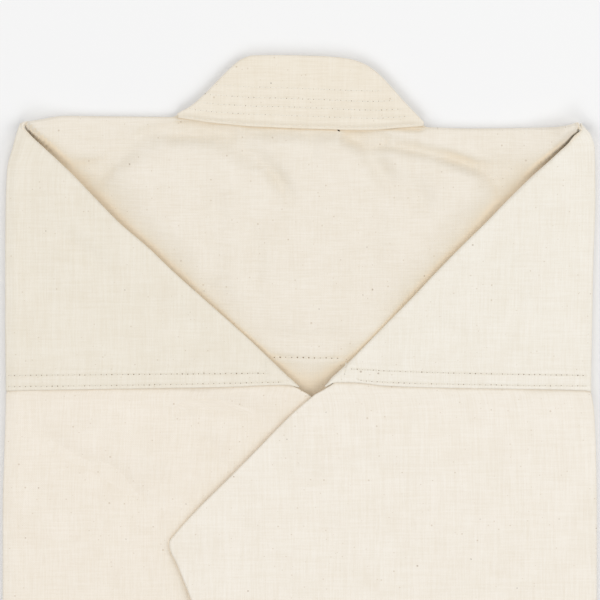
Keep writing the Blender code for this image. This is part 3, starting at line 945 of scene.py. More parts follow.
def half_round(steps, squareness_top=2.0, squareness_low=2.0):
    """A half turn from the low end round to the top one: how far out and how high (-1 to 1)."""
    angle = np.linspace(-90.0, 90.0, steps + 1) * math.pi / 180
    power = np.where(angle > 0, 2.0 / squareness_top, 2.0 / squareness_low)
    out = np.abs(np.cos(angle)) ** power
    up = np.sign(angle) * np.abs(np.sin(angle)) ** power
    return out, up


# The back

LOWEST_BACK = 3.0
STITCHED_LINE = path_points(BACK_ROWS[0])

# The back's swell between the diagonal folds: how high and within what distance it rises,
# where in y it ends, and how wide it is above its low part and in it
SWELL = 4.4
SWELL_RISE = 11.5
SWELL_END = (207.0, 221.0)
SWELL_WIDTH = 26.0
SWELL_WIDTH_LOW = 23.0
LOW_PART_END = (314.0, 342.0)
SWELL_AT_FOLD = (-5.0, 0.4)
SWELL_PAST_FOLD = 0.6

# The share of the swell that rises right at a fold, and where that share is larger
STEEP_EVERYWHERE = 0.08
STEEP_LOW_PART = 0.30
Steep = namedtuple("Steep", "y reach")
STEEP_MIDDLE = Steep(252.0, 14.0)
STEEP_FOOT = Steep(231.0, 10.0)

# The distances within which the soft folds fade towards the shoulder line and the
# diagonal folds, and what is left of them at the shoulder line
CALM_AT_LINE = (0.0, 7.0)
CALM_SHARE = 0.25
CALM_AT_FOLD = (0.0, 7.0)

# The ridge up to a shoulder tip: how far from the tip it starts to fall, where it starts at
# the fold, how it falls to the side, and what is left of it there
RIDGE_FALL = 6.0
RIDGE_START = 0.5
RIDGE_SIDE = (6.0, 30.0)
RIDGE_SHARE = 0.35

# The last rise at a shoulder tip
TIP_RISE = 4.6
TIP_REACH = (1.0, 20.0)
TIP_START = (0.4, 2.6)

# The two steps in which the back beds down at a fold, and where in y they start
Step = namedtuple("Step", "depth reach")
BED_STEPS = (Step(0.8, (0.0, 4.0)), Step(0.6, (2.0, 16.0)))
BED_FROM = (300.0, 345.0)
BED_TIP_REACH = (2.0, 9.0)

# The back's upper edge: where its rows bend to the shoulder line and its columns to the
# tips, how deep it rolls over the line, and how far it is tucked under the collar
LINE_BEND = (340.0, 374.0)
TIP_BEND = (330.0, 366.0)
ROLL_Y = 374.0
ROLL_DEPTH = 2.4
NECK_TUCK = 4.6
NECK_BLEND = (NECK_HALF_WIDTH - 4.0, NECK_HALF_WIDTH + 2.0)

# How far the back stays inside the folded sides and the tips, and its closer rows
SIDE_CLEARANCE = 1.6
LEFT_TIP_CLEARANCE = 3.0
RIGHT_TIP_CLEARANCE = 0.9
BACK_STOPS = ((205.0, 392.0, FINE), (233.5, 240.0, 0.55))


def swell(x, y):
    """How the back rises between the turned shoulders, from its folds to its middle."""
    below = SHOULDER_EDGE(x) - y - SWELL_FROM(x)
    height = SWELL * eased(below, 0.0, SWELL_RISE) * eased(y, *SWELL_END)
    low_part = fading(y, *LOW_PART_END)
    for side in BOTH:
        valley = VALLEYS[side]
        away = inside_diagonal(side, x, y)
        near = STEEP_EVERYWHERE + STEEP_LOW_PART * low_part
        near += valley.steep_middle * hump(y - STEEP_MIDDLE.y, STEEP_MIDDLE.reach)
        near += valley.steep_foot * hump(y - STEEP_FOOT.y, STEEP_FOOT.reach)
        wide = SWELL_WIDTH - (SWELL_WIDTH - SWELL_WIDTH_LOW) * low_part
        far = (1.0 - near) * eased(away, SWELL_PAST_FOLD, wide)
        height = height * (near * eased(away, *SWELL_AT_FOLD) + far)
    return height


def back_height(x, y):
    """The back's top face: soft folds, and a rise to each shoulder tip beside its valley."""
    calm = from_share(CALM_SHARE, eased(SHOULDER_EDGE(x) - y, *CALM_AT_LINE))
    height = (relief(BACK_FOLDS, x, y) + unevenness(x, y, BACK_LIE)) * calm
    for side in BOTH:
        valley = VALLEYS[side]
        away = np.maximum(inside_diagonal(side, x, y), 0.0)
        from_tip = np.hypot(x - TIPS[side][0], y - TIPS[side][1])
        height = height * eased(away, *CALM_AT_FOLD)
        near_tip = fading(from_tip, RIDGE_FALL, valley.ridge_length)
        beside = from_share(RIDGE_SHARE, fading(away, *RIDGE_SIDE))
        height += valley.ridge * near_tip * eased(away, RIDGE_START, valley.width) * beside
        height += TIP_RISE * fading(from_tip, *TIP_REACH) * eased(away, *TIP_START)
        bed = sum(step.depth * fading(away, *step.reach) for step in BED_STEPS)
        height -= bed * eased(y, *BED_FROM) * eased(from_tip, *BED_TIP_REACH)
    height += swell(x, y)
    from_stitches, _ = near_path(STITCHED_LINE, x, y)
    return np.maximum(top_of(BACK) + height + dented(from_stitches, BACK_DENT), LOWEST_BACK)


def shoulder_roll(columns, shoulder, top):
    """Rows of the back's edge as it rolls over the shoulder line, or under at the neck."""
    neck = fading(np.abs(columns), *NECK_BLEND)
    radius = (top - CLOTH / 2) / 2
    turn_out, turn_up = half_round(8)
    rows = []
    for out, up in list(zip(turn_out, turn_up))[-2::-1]:
        rolled_y = shoulder - ROLL_DEPTH + out * (ROLL_DEPTH - CLOTH / 2)
        rolled_z = PLY / 2 + radius + up * radius
        neck_y = shoulder - ROLL_DEPTH + NECK_TUCK * (1.0 - up) / 2
        y = rolled_y * (1 - neck) + neck_y * neck
        z = rolled_z * (1 - neck) + (top_of(BACK) - CLOTH / 2) * neck
        rows.append(np.stack([columns, y, z], axis=1))
    return rows


def back_piece(material):
    """The back, from side to side, rolled over the shoulder line beside the neck."""
    left_tip = TIPS[LEFT][0] + LEFT_TIP_CLEARANCE
    right_tip = TIPS[RIGHT][0] - RIGHT_TIP_CLEARANCE
    columns = np.arange(left_tip, right_tip + FINE, FINE)
    columns = left_tip + (columns - left_tip) * (right_tip - left_tip) / (columns[-1] - left_tip)
    share = (columns - left_tip) / (right_tip - left_tip)
    shoulder = SHOULDER_EDGE(columns)
    rows = []
    for v in spaced(BACK_STOPS, HEM_Y, ROLL_Y):
        y = v + eased(v, *LINE_BEND) * (shoulder - ROLL_DEPTH - ROLL_Y)
        low = SIDE_EDGE[LEFT](v) + SIDE_CLEARANCE
        high = SIDE_EDGE[RIGHT](v) - SIDE_CLEARANCE
        straight = low + (high - low) * share
        x = straight + (columns - straight) * eased(v, *TIP_BEND)
        z = back_height(x, y) - CLOTH / 2
        rows.append(np.stack([x, y, z], axis=1))
    points = np.array(rows + shoulder_roll(columns, shoulder, z))
    uv = np.stack([points[:, :, 0], points[:, :, 1] + points[:, :, 2] * 0.3], axis=2)
    return cloth_piece("back_panel", points, material, uv=uv)


def tip_rim(side, material):
    """The rolled rim that carries the shoulder's edge round its tip to the folded side."""
    tip_x = TIPS[side][0]
    knots = []
    for rim in RIM_ON_SHOULDER:
        x = tip_x - side * rim.inwards
        knots.append((x, SHOULDER_EDGE(x) - rim.drop, rim.z, rim.radius))
    knots += [(tip_x - side * rim.inwards, rim.y, rim.z, rim.radius) for rim in RIM_AT_TIP]
    end_x = SIDE_EDGE[side](RIM_END.y) - side * RIM_END.inwards
    knots.append((end_x, RIM_END.y, RIM_END.z, RIM_END.radius))
    knots = np.array(knots, float)
    place = np.linspace(0.0, len(knots) - 1, RIM_RINGS)
    path = np.stack([np.interp(place, np.arange(len(knots)), knots[:, k]) for k in range(4)], axis=1)
    path, radius = path[:, :3], path[:, 3]
    for _ in range(RIM_SMOOTHINGS):
        path[1:-1] = (path[:-2] + 2 * path[1:-1] + path[2:]) / 4
    run = unit(np.gradient(path, axis=0))
    side_way = unit(np.cross(run, np.array([0.0, 0.0, 1.0])))
    up_way = unit(np.cross(side_way, run))
    rings = [
        path + radius[:, None] * (math.cos(a) * side_way + math.sin(a) * up_way)
        for a in np.linspace(0.0, 2 * math.pi, RIM_GIRTH + 1)[:-1]
    ]
    return closed_tube(f"{LABEL[side]}_shoulder_tip_rim", np.stack(rings, axis=1), material)


# The turned shoulders

# The soft fall of the top layers at the outer edge
EDGE_DROP = 1.4
EDGE_REACH = 8.0
EDGE_POWER = 1.5

# The loft beside the inner edge
LOFT = 1.5
LOFT_REACH = 34.0
LOFT_FROM_SIDE = (4.0, 40.0)
LOFT_GROWS = (250.0, 335.0)
LOFT_LEAST = 0.3

# The rounded nose along the diagonal fold
NOSE_REACH = 4.6
NOSE_RAISE = 1.6
NOSE_TOP_SQUARENESS = 2.7
NOSE_LOW_SQUARENESS = 2.4
NOSE_LEVEL = middle_of(SIDE_LOW) + 0.2
NOSE_LIFT_SHARE = 0.6

# The lip along the lap's edge, the drop at the shoulder tip, and where the folds fade
LAP_LIP = 0.12
LAP_LIP_AT = 1.2
LAP_LIP_REACH = 0.9
TIP_DROP = 0.9
TIP_DROP_REACH = 16.0
CALM_AT_SIDE = (0.0, 8.0)
CALM_AT_DIAGONAL = (1.0, 9.0)

# The turned shoulder's columns, how its last row is drawn together at the tip, and its
# closer rows
TURN_COLUMNS = 82
TURN_END_SIZE = (0.6, 0.6, 0.7)
TURN_END_SHIFT = (0.0, 0.5, -0.4)
TURN_STOPS = ((LAP_Y, LAP_Y + 14.0, 0.5), (LAP_Y + 14.0, 360.0, FINE), (360.0, 380.0, 1.0))


def from_side_edge(side, x, y):
    """How far plan points lie from the folded jacket's outer edge."""
    return np.abs(x - SIDE_EDGE[side](y))


def side_drop(side, x, y):
    """The soft fall of the top layers towards the folded side."""
    return EDGE_DROP * fading(from_side_edge(side, x, y), 0.0, EDGE_REACH) ** EDGE_POWER


def turn_height(side, x, y):
    """The turned shoulder's top face."""
    away, _ = near_path(DIAGONALS[side], x, y)
    from_side = from_side_edge(side, x, y)
    height = relief(TURN_FOLDS[side], x, y) + unevenness(x, y, TURN_LIE, side)
    height = height * eased(away, *CALM_AT_DIAGONAL) * eased(from_side, *CALM_AT_SIDE)
    grown = from_share(LOFT_LEAST, eased(y, *LOFT_GROWS))
    height += LOFT * grown * eased(from_side, *LOFT_FROM_SIDE) * hump(away, LOFT_REACH)
    above_lap = y - LAP_EDGE(x)
    height += LAP_RISE * fading(above_lap, *LAP_STEP)
    height += LAP_LIP * hump(above_lap - LAP_LIP_AT, LAP_LIP_REACH)
    for row in ARMHOLE_ROWS[side]:
        from_stitches, _ = near_path(path_points(row), x, y)
        height += dented(from_stitches, ARMHOLE_DENT)
    from_tip = np.hypot(x - TIPS[side][0], y - TIPS[side][1])
    height -= TIP_DROP * fading(from_tip, 0.0, TIP_DROP_REACH)
    return top_of(TURN_TOP) + height - side_drop(side, x, y) + lift(side, x, y)


def turn_row(side, v):
    """One row across a turned shoulder: round its side, over its top, round its nose."""
    fade = fading(v - LAP_Y, *LAP_FADE)
    start = float(SIDE_EDGE[side](v + fade * (LAP_EDGE(SIDE_EDGE[side](v)) - LAP_Y)))
    end = float(TURN_EDGE[side](v))
    for _ in range(3):
        end = float(TURN_EDGE[side](v + fade * (float(LAP_EDGE(end)) - LAP_Y)))
    width = (start - end) * side
    side_run = min(PLY / 2 + LAYER / 2, 0.3 * width)
    nose_run = min(NOSE_REACH + CLOTH / 2 * math.sqrt(2.0), 0.5 * width)
    side_out, side_up = half_round(10)
    nose_out, nose_up = half_round(20, NOSE_TOP_SQUARENESS, NOSE_LOW_SQUARENESS)
    across = np.concatenate([
        side_run - side_out * max(side_run - CLOTH / 2, 0.05),
        side_run + (width - side_run - nose_run) * np.linspace(0.0, 1.0, TURN_COLUMNS)[1:-1],
        width - nose_run + nose_out[::-1] * max(nose_run - CLOTH / 2, 0.1),
    ])
    x = start - side * across
    y = v + fade * (LAP_EDGE(x) - LAP_Y)
    raised = lift(side, x, y)
    z = turn_height(side, x, y) - CLOTH / 2
    low_side = middle_of(TURN_LOW) - side_drop(side, x, y) + raised
    low_nose = NOSE_LEVEL + NOSE_LIFT_SHARE * raised + NOSE_RAISE * fading(y, *LOW_PART_END)
    at_side, at_nose = slice(0, len(side_out)), slice(-len(nose_out), None)
    z[at_side] = z[at_side] + (low_side - z)[at_side] * (1.0 - side_up) / 2
    z[at_nose] = z[at_nose] + (low_nose - z)[at_nose] * (1.0 - nose_up[::-1]) / 2
    return np.stack([x, y, z], axis=1)


def turn_piece(side, material):
    """The back's shoulder, turned at the diagonal fold and lapped over the sleeve."""
    rows = [turn_row(side, v) for v in spaced(TURN_STOPS, LAP_Y, TIP_Y)]
    centre = rows[-1].mean(axis=0)
    rows.append(centre + (rows[-1] - centre) * TURN_END_SIZE + TURN_END_SHIFT)
    return cloth_piece(f"{LABEL[side]}_turned_shoulder", np.array(rows), material)


# The sleeves

SLEEVE_COLUMNS = 72
UNDER_COLUMNS = 12
UNDER_HALF = UNDER_COLUMNS // 2
SLEEVE_LOFT = 0.5
SLEEVE_END_Y = LAP_Y + LAP_DEPTH - 1.0
SLEEVE_STOPS = (
    (CUFF_Y, CUFF_Y + 6.0, 1.2),
    (CUFF_Y + CUFF_DEPTH - 4.0, CUFF_Y + CUFF_DEPTH + 3.0, 1.0),
    (78.0, 240.0, 2.6),
)

# How far the sleeve's end is drawn in where it is tucked under the lap
TUCK_SIDE = 1.6
TUCK_INNER = 2.6

# Where the sleeve's folds fade: at its inner edge, and under the right sleeve
CALM_AT_INNER = (1.0, 10.0)
SLEEVE_CALM_SHARE = 0.15
UNDER_RIGHT_SLEEVE = (-9.0, 3.0)

# How short the step is from a turned-up band to the cloth beside it
BAND_STEP = 1.6


def band_relief(y, edge_y, depth, rows):
    """How a turned-up band raises a cuff or a hem, dented along its rows of stitches."""
    height = BAND_RISE * fading(y, edge_y + depth, edge_y + depth + BAND_STEP)
    for row_y in rows:
        height += dented(y - row_y, BAND_DENT)
    return height


def sleeve_height(side, x, y):
    """The sleeve's top face."""
    inner = TURN_EDGE[side](y)
    from_side = from_side_edge(side, x, y)
    calm = eased(np.abs(x - inner), *CALM_AT_INNER) * eased(from_side, *CALM_AT_SIDE)
    height = relief(SLEEVE_FOLDS[side], x, y) + unevenness(x, y, SLEEVE_LIE, side)
    height *= from_share(SLEEVE_CALM_SHARE, calm)
    height += SLEEVE_LOFT * eased(from_side, *LOFT_FROM_SIDE) * hump(x - inner, LOFT_REACH)
    if side == LEFT:
        height = height * eased(TURN_EDGE[RIGHT](y) - x, *UNDER_RIGHT_SLEEVE)
    height -= LAP_DIP * fading(LAP_EDGE(x) - y, *LAP_DIP_REACH)
    height += band_relief(y, CUFF_Y, CUFF_DEPTH, CUFF_ROWS)
    return top_of(TURN_TOP) + height - side_drop(side, x, y) + lift(side, x, y)


def sleeve_row(side, v):
    """One row round a sleeve: from its under face over the side, the top and the inner edge."""
    tucked = float(eased(v, LAP_Y - 1.0, LAP_Y + 0.4))
    start = float(SIDE_EDGE[side](v)) - side * TUCK_SIDE * tucked
    end = float(TURN_EDGE[side](v)) + side * TUCK_INNER * tucked
    width = (start - end) * side
    edge = LAYER / 2 + PLY / 2
    top_face = edge + (width - 2 * edge) * np.linspace(0.0, 1.0, SLEEVE_COLUMNS)[1:-1]
    under = edge + (width - 2 * edge) * np.linspace(0.0, 1.0, UNDER_COLUMNS)[1:-1]
    out, up = half_round(10)
    first_under, last_under = under[:UNDER_HALF][::-1], under[UNDER_HALF - 1:][::-1]
    side_roll = edge - out * (edge - CLOTH / 2)
    inner_roll = (width - edge + out * (edge - CLOTH / 2))[::-1]
    across = np.concatenate([first_under, side_roll, top_face, inner_roll, last_under])
    weight = np.concatenate([
        np.zeros(len(first_under)),
        (1 + up) / 2,
        np.ones(len(top_face)),
        (1 + up[::-1]) / 2,
        np.zeros(len(last_under)),
    ])
    x = start - side * across
    y = np.full(len(x), v)
    top = sleeve_height(side, x, y) - CLOTH / 2
    low = middle_of(TURN_LOW) - side_drop(side, x, y) + lift(side, x, y)
    return np.stack([x, y, low + (top - low) * weight], axis=1)


def sleeve_piece(side, material):
    """A sleeve, pressed flat: folded at its top, sewn at its underarm, open at the cuff."""
    points = np.array([sleeve_row(side, v) for v in spaced(SLEEVE_STOPS, CUFF_Y, SLEEVE_END_Y)])
    lengths = cloth_lengths(points)
    lengths = lengths - lengths[:, UNDER_HALF:UNDER_HALF + 1]
    uv = np.stack([lengths, points[:, :, 1]], axis=2)
    return cloth_piece(f"{LABEL[side]}_sleeve_cloth", points, material, round_trip=True, uv=uv)


# The folded sides

SIDE_COLUMNS = 34
SIDE_END_Y = 371.0
SIDE_STOPS = (
    (HEM_Y, HEM_Y + 6.0, 1.5),
    (HEM_Y + HEM_DEPTH - 4.0, HEM_Y + HEM_DEPTH + 3.0, 1.2),
    (HEM_Y + 30.0, CUFF_Y + 10.0, 5.0),
    (340.0, SIDE_END_Y, 3.0),
)

# The folded side's inner edge from the middle and behind the diagonal fold, how far its
# roll and its inner fold are drawn in, where its folds fade at its edges, and where they
# start to show past the cuff
SIDE_GAP = 0.4
BEHIND_DIAGONAL = 5.6
DRAWN_IN = 0.2
CALM_AT_EDGE = (1.0, 9.0)
PAST_CUFF = (CUFF_Y - 4.0, CUFF_Y + 12.0)


def fold_inner(side, y):
    """The folded side's inner edge: its seam, then the middle, then inside the diagonal."""
    seam, middle = side * SEAM_X, side * SIDE_GAP
    past_underarm = eased(y, UNDERARM_Y - 10.0, UNDERARM_Y + 10.0)
    below = seam + (middle - seam) * past_underarm
    past_middle = eased(y, CROSSING_Y - 8.0, CROSSING_Y + 2.0)
    diagonal = TURN_EDGE[side](np.maximum(y, CROSSING_Y)) + side * BEHIND_DIAGONAL
    return below + (diagonal - below) * past_middle


def side_height(side, x, y):
    """The folded side's top face."""
    away = np.minimum(from_side_edge(side, x, y), np.abs(x - fold_inner(side, y)))
    height = relief(SIDE_FOLDS[side], x, y) + unevenness(x, y, SIDE_LIE, side)
    height = height * eased(away, *CALM_AT_EDGE) * fading(y, *PAST_CUFF)
    return top_of(SIDE_TOP) + height + band_relief(y, HEM_Y, HEM_DEPTH, HEM_ROWS)


def side_row(side, v):
    """One row round a folded side: from the ground round the roll, inwards and back below."""
    radius = top_of(SIDE_TOP) / 2
    out, up = half_round(16)
    start = float(SIDE_EDGE[side](v)) - side * DRAWN_IN
    width = (start - float(fold_inner(side, v))) * side
    roll = radius - out * (radius - CLOTH / 2)
    flat = radius + (width - radius) * np.linspace(0.0, 1.0, SIDE_COLUMNS)[1:]
    x = start - side * np.concatenate([roll, flat, [width - DRAWN_IN], flat[::-1]])
    y = np.full(len(x), v)
    top = side_height(side, x, y) - CLOTH / 2
    z = np.concatenate([
        CLOTH / 2 + (top[:len(roll)] - CLOTH / 2) * (1 + up) / 2,
        top[len(roll):len(roll) + len(flat)],
        [(middle_of(SIDE_LOW) + middle_of(SIDE_TOP)) / 2],
        np.full(len(flat), middle_of(SIDE_LOW)),
    ])
    return np.stack([x, y, z], axis=1)


def side_piece(side, material):
    """The side of the front, turned over the back: one roll round the stack, two layers."""
    points = np.array([side_row(side, v) for v in spaced(SIDE_STOPS, HEM_Y, SIDE_END_Y)])
    return cloth_piece(f"{LABEL[side]}_folded_side", points, material)


# The fronts, hidden under the back

# How far the fronts stay inside the sides and below the shoulder line
FRONT_INSIDE = 4.4
FRONT_BELOW = 4.2


def inset(outline, depth):
    """A closed outline moved inwards."""
    before, after = np.roll(outline, 1, axis=0), np.roll(outline, -1, axis=0)
    run = unit(outline - before) + unit(after - outline)
    normal = unit(np.stack([run[:, 1], -run[:, 0]], axis=1))
    return outline + depth * normal


def front_piece(material):
    """Both fronts, flat on the ground, layered at their rim."""
    ys = np.arange(HEM_Y, 362.0, 12.0)
    left_xs = np.arange(-152.0, -NECK_HALF_WIDTH, 6.0)
    neck_xs = np.arange(-72.0, 73.0, 4.0)
    right_xs = np.arange(NECK_HALF_WIDTH + 1.0, 153.0, 6.0)
    neck_ys = np.maximum(COLLAR_TOP_EDGE(neck_xs) - 1.6, SHOULDER_EDGE(neck_xs) - 3.0)
    outline = np.concatenate([
        np.column_stack([SIDE_EDGE[LEFT](ys) + FRONT_INSIDE, ys]),
        np.column_stack([left_xs, SHOULDER_EDGE(left_xs) - FRONT_BELOW]),
        np.column_stack([neck_xs, neck_ys]),
        np.column_stack([right_xs, SHOULDER_EDGE(right_xs) - FRONT_BELOW]),
        np.column_stack([SIDE_EDGE[RIGHT](ys) - FRONT_INSIDE, ys])[::-1],
    ])
    points = np.array([
        np.column_stack([inset(outline, ring.inset), np.full(len(outline), ring.z)]) for ring in FRONT_RINGS
    ])
    made = closed_tube("front_panels", points, material)
    made.data.set_sharp_from_angle(angle=math.radians(40))
    return made


# The collar

# The collar's levels: its face, its sewn lip, and its underside on the back and past it
COLLAR_TOP = 6.6
COLLAR_LIP = 5.3
COLLAR_UNDER = 4.5
COLLAR_UNDER_PAST = 3.0
PAST_SHOULDER = 2.0

# The fullness of its face, the reach and depth of its lip, and its rounded outer edge
COLLAR_LOFT = 0.35
COLLAR_LIP_REACH = (-0.5, 4.0)
COLLAR_LIP_DEPTH = 0.7
COLLAR_EDGE = 2.2

COLLAR_STEPS = 70
COLLAR_XS = np.concatenate([np.arange(-73.6, 74.4, 1.1), [74.4]])


def collar_row_y(row, x):
    """Where one of the collar's stitch rows runs."""
    share = np.clip(np.abs(x) / 60.0, 0.0, 1.0) ** 1.6
    return COLLAR_SEAM(x) + row.middle + (row.ends - row.middle) * share


def collar_height(x, y):
    """The collar band's top face, quilted by its rows of stitches."""
    seam, top = COLLAR_SEAM(x), COLLAR_TOP_EDGE(x)
    up_band = np.clip((y - seam) / np.maximum(top - seam, 1.0), 0.0, 1.0)
    height = COLLAR_LOFT * np.sin(np.pi * up_band) + unevenness(x, y, COLLAR_LIE)
    for row in COLLAR_ROWS:
        inside = fading(np.abs(x), row.reach - 4.0, row.reach + 2.0)
        away = np.abs(y - collar_row_y(row, x))
        height += inside * dented(away, COLLAR_DENT)
    lip = fading(y - seam, *COLLAR_LIP_REACH)
    return COLLAR_TOP - (COLLAR_TOP - COLLAR_LIP) * lip + height


def collar_ring(x_at):
    """One section of the collar band: its face, its folded top, its underside and its lip."""
    seam, top = float(COLLAR_SEAM(x_at)), float(COLLAR_TOP_EDGE(x_at))
    height = top - seam
    edge = min(COLLAR_EDGE, 0.35 * height)
    lip = min(COLLAR_LIP_DEPTH, 0.12 * height)
    face_y = seam + lip + (height - lip - edge) * np.linspace(0.0, 1.0, COLLAR_STEPS)
    face_z = collar_height(np.full(COLLAR_STEPS, x_at), face_y)
    under_y = face_y[::-1][::6]
    past_shoulder = (under_y >= float(SHOULDER_EDGE(x_at)) + PAST_SHOULDER) & (height > 10.0)
    under_z = np.where(past_shoulder, COLLAR_UNDER_PAST, COLLAR_UNDER)
    out, up = half_round(12, 2.4, 2.0)
    nose_y = top - edge + out[::-1] * edge
    nose_z = under_z[0] + (face_z[-1] - under_z[0]) * (1 + up[::-1]) / 2
    lip_out, lip_up = half_round(6)
    lip_y = seam + lip - lip_out * lip
    lip_z = under_z[-1] + (face_z[0] - under_z[-1]) * (1 + lip_up) / 2
    section = np.concatenate([
        np.column_stack([face_y, face_z]),
        np.column_stack([nose_y, nose_z])[1:-1],
        np.column_stack([under_y, under_z]),
        np.column_stack([lip_y, lip_z])[1:-1],
    ])
    return np.column_stack([np.full(len(section), x_at), section])


def collar_piece(material):
    """The collar band: sewn over the neckline, standing past the shoulders, folded at its top."""
    return closed_tube("collar_band", np.array([collar_ring(x) for x in COLLAR_XS]), material)


# Sewing

# A stitch of thread: its half width and half height, how far it arches and is sunk in
THREAD_RADIUS = STITCH_WIDTH / 2
THREAD_HEIGHT = 0.36 * STITCH_WIDTH
THREAD_ARCH = 0.45 * STITCH_WIDTH
THREAD_SUNK = 0.10 * STITCH_WIDTH
THREAD_GIRTH = 6
HOLE_SIDES = 8
HOLE_DEPTH = 0.08
STITCH_RINGS = 7
ROW_WANDER = 0.06


def stitch_shape():
    """One stitch of thread: along, sideways, up, and how far its middle arches over its ends."""
    along = np.linspace(-1.0, 1.0, STITCH_RINGS)
    girth = np.sqrt(np.maximum(1.0 - along ** 4, 0.0)) * 0.85 + 0.15
    angles = np.linspace(0.0, 2 * math.pi, THREAD_GIRTH + 1)[:-1]
    points = [
        (t, math.cos(a) * r, math.sin(a) * r, 1.0 - t * t)
        for t, r in zip(along, girth)
        for a in angles
    ]
    return np.array(points), tube_faces(STITCH_RINGS, THREAD_GIRTH)


def hole_shape():
    """The small dent at a needle hole."""
    points = [(0.0, 0.0, 0.35)]
    for size, drop in ((0.55, 0.30), (1.0, 0.0)):
        for k in range(HOLE_SIDES):
            a = 2 * math.pi * k / HOLE_SIDES
            points.append((math.cos(a) * size, math.sin(a) * size, drop))
    outer = 1 + HOLE_SIDES
    faces = []
    for k in range(HOLE_SIDES):
        j = (k + 1) % HOLE_SIDES
        faces.append((0, 1 + k, 1 + j))
        faces.append((1 + k, outer + k, outer + j, 1 + j))
    faces.append(tuple(range(outer, outer + HOLE_SIDES)))
    return np.array(points), faces


STITCH, STITCH_FACES = stitch_shape()
HOLE, HOLE_FACES = hole_shape()


class Joined:
    """Many small meshes gathered into one piece."""

    def __init__(self):
        self.points = []
        self.faces = []
        self.slots = []
        self.count = 0

    def add(self, points, faces, slot=0):
        self.points.append(points)
        self.faces += [[self.count + k for k in face] for face in faces]
        self.slots += [slot] * len(faces)
        self.count += len(points)

    def piece(self, name, *materials):
        made = make_mesh(name, np.concatenate(self.points), self.faces, None, materials[0])
        for material in materials[1:]:
            made.data.materials.append(material)
        made.data.polygons.foreach_set("material_index", self.slots)
        return made


def stitch_marks(path, height, seed):
    """The ends and the middles of the stitches along a path, on the cloth's top face."""
    length = np.concatenate([[0.0], np.cumsum(np.linalg.norm(np.diff(path, axis=0), axis=1))])
    count = max(2, int(length[-1] / STITCH_PITCH))
    marks = np.linspace(0.0, length[-1], 2 * count + 1)
    rng = np.random.default_rng(seed)
    x = np.interp(marks, length, path[:, 0]) + rng.normal(0.0, ROW_WANDER, len(marks))
    y = np.interp(marks, length, path[:, 1]) + rng.normal(0.0, ROW_WANDER, len(marks))
    return np.stack([x, y, height(x, y)], axis=1)


def stitch_points(start, middle, end):
    """A stitch's points between its two ends, a little sunk into the cloth."""
    run = end - start
    way = unit(run)
    side_way = unit(np.cross(way, np.array([0.0, 0.0, 1.0])))
    up_way = np.cross(side_way, way)
    along, across, up, arch = (STITCH[:, k:k + 1] for k in range(4))
    level = up * THREAD_HEIGHT + (arch - 0.75) * THREAD_ARCH
    centre = middle - (0.0, 0.0, THREAD_SUNK)
    reach = 0.40 * np.linalg.norm(run)
    return centre + along * reach * way + across * THREAD_RADIUS * side_way + level * up_way


def sewing(sewn, thread, hole):
    """Rows of stitches with their needle holes, dented and painted with shade, as one joined piece."""
    joined = Joined()
    for number, path in enumerate(sewn.paths):
        marks = stitch_marks(path, sewn.height, 100 + number) + (0.0, 0.0, sewn.raised)
        hole_size = sewn.holes[number % len(sewn.holes)]
        rng = np.random.default_rng(200 + number)
        for start, middle, end in zip(marks[:-2:2], marks[1:-1:2], marks[2::2]):
            joined.add(stitch_points(start, middle, end), STITCH_FACES)
            size = hole_size * rng.uniform(0.5, 1.2)
            joined.add(start + HOLE * (size, size, HOLE_DEPTH) + (0.0, 0.0, 0.04), HOLE_FACES, 1)
    return joined.piece(sewn.name, thread, hole)


def straight_path(x1, x2, y):
    xs = np.linspace(x1, x2, 30)
    return np.column_stack([xs, np.full(len(xs), y)])


def collar_path(row):
    xs = np.linspace(-row.reach, row.reach, 60)
    return np.column_stack([xs, collar_row_y(row, xs)])


# Each piece of sewing: its rows, how large the needle holes of each row are, and how far
# the thread is raised
Sewn = namedtuple("Sewn", "name node paths height holes raised")


def sewn_rows():
    """Every row of stitches on the jacket."""
    back = [path_points(row) for row in BACK_ROWS]
    rows = [Sewn("back_row_of_stitches", "back", back, back_height, (0.48,), 0.06)]
    for side in BOTH:
        label = LABEL[side]
        turn, sleeve = partial(turn_height, side), partial(sleeve_height, side)
        fold = partial(side_height, side)
        armhole = [path_points(row) for row in ARMHOLE_ROWS[side]]
        inner, outer = TURN_EDGE[side], SIDE_EDGE[side]
        cuff = [straight_path(inner(y) + side * 2.5, outer(y) - side * 2.5, y) for y in CUFF_ROWS]
        hem = [straight_path(side * (SEAM_X + 2.0), outer(y) - side * 5.0, y) for y in HEM_ROWS]
        armhole_holes = (0.31, 0.28, 0.12)
        rows += [
            Sewn(f"{label}_armhole_stitches", f"{label}_shoulder_turn", armhole, turn, armhole_holes, 0.12),
            Sewn(f"{label}_cuff_stitches", f"{label}_sleeve", cuff, sleeve, (0.30,), 0.10),
            Sewn(f"{label}_hem_stitches", f"{label}_side_fold", hem, fold, (0.30,), 0.10),
        ]
    collar = [collar_path(row) for row in COLLAR_ROWS]
    holes = (0.06, 0.22, 0.24, 0.24, 0.20)
    return rows + [Sewn("collar_rows_of_stitches", "collar", collar, collar_height, holes, 0.0)]


# Seed husks in the canvas

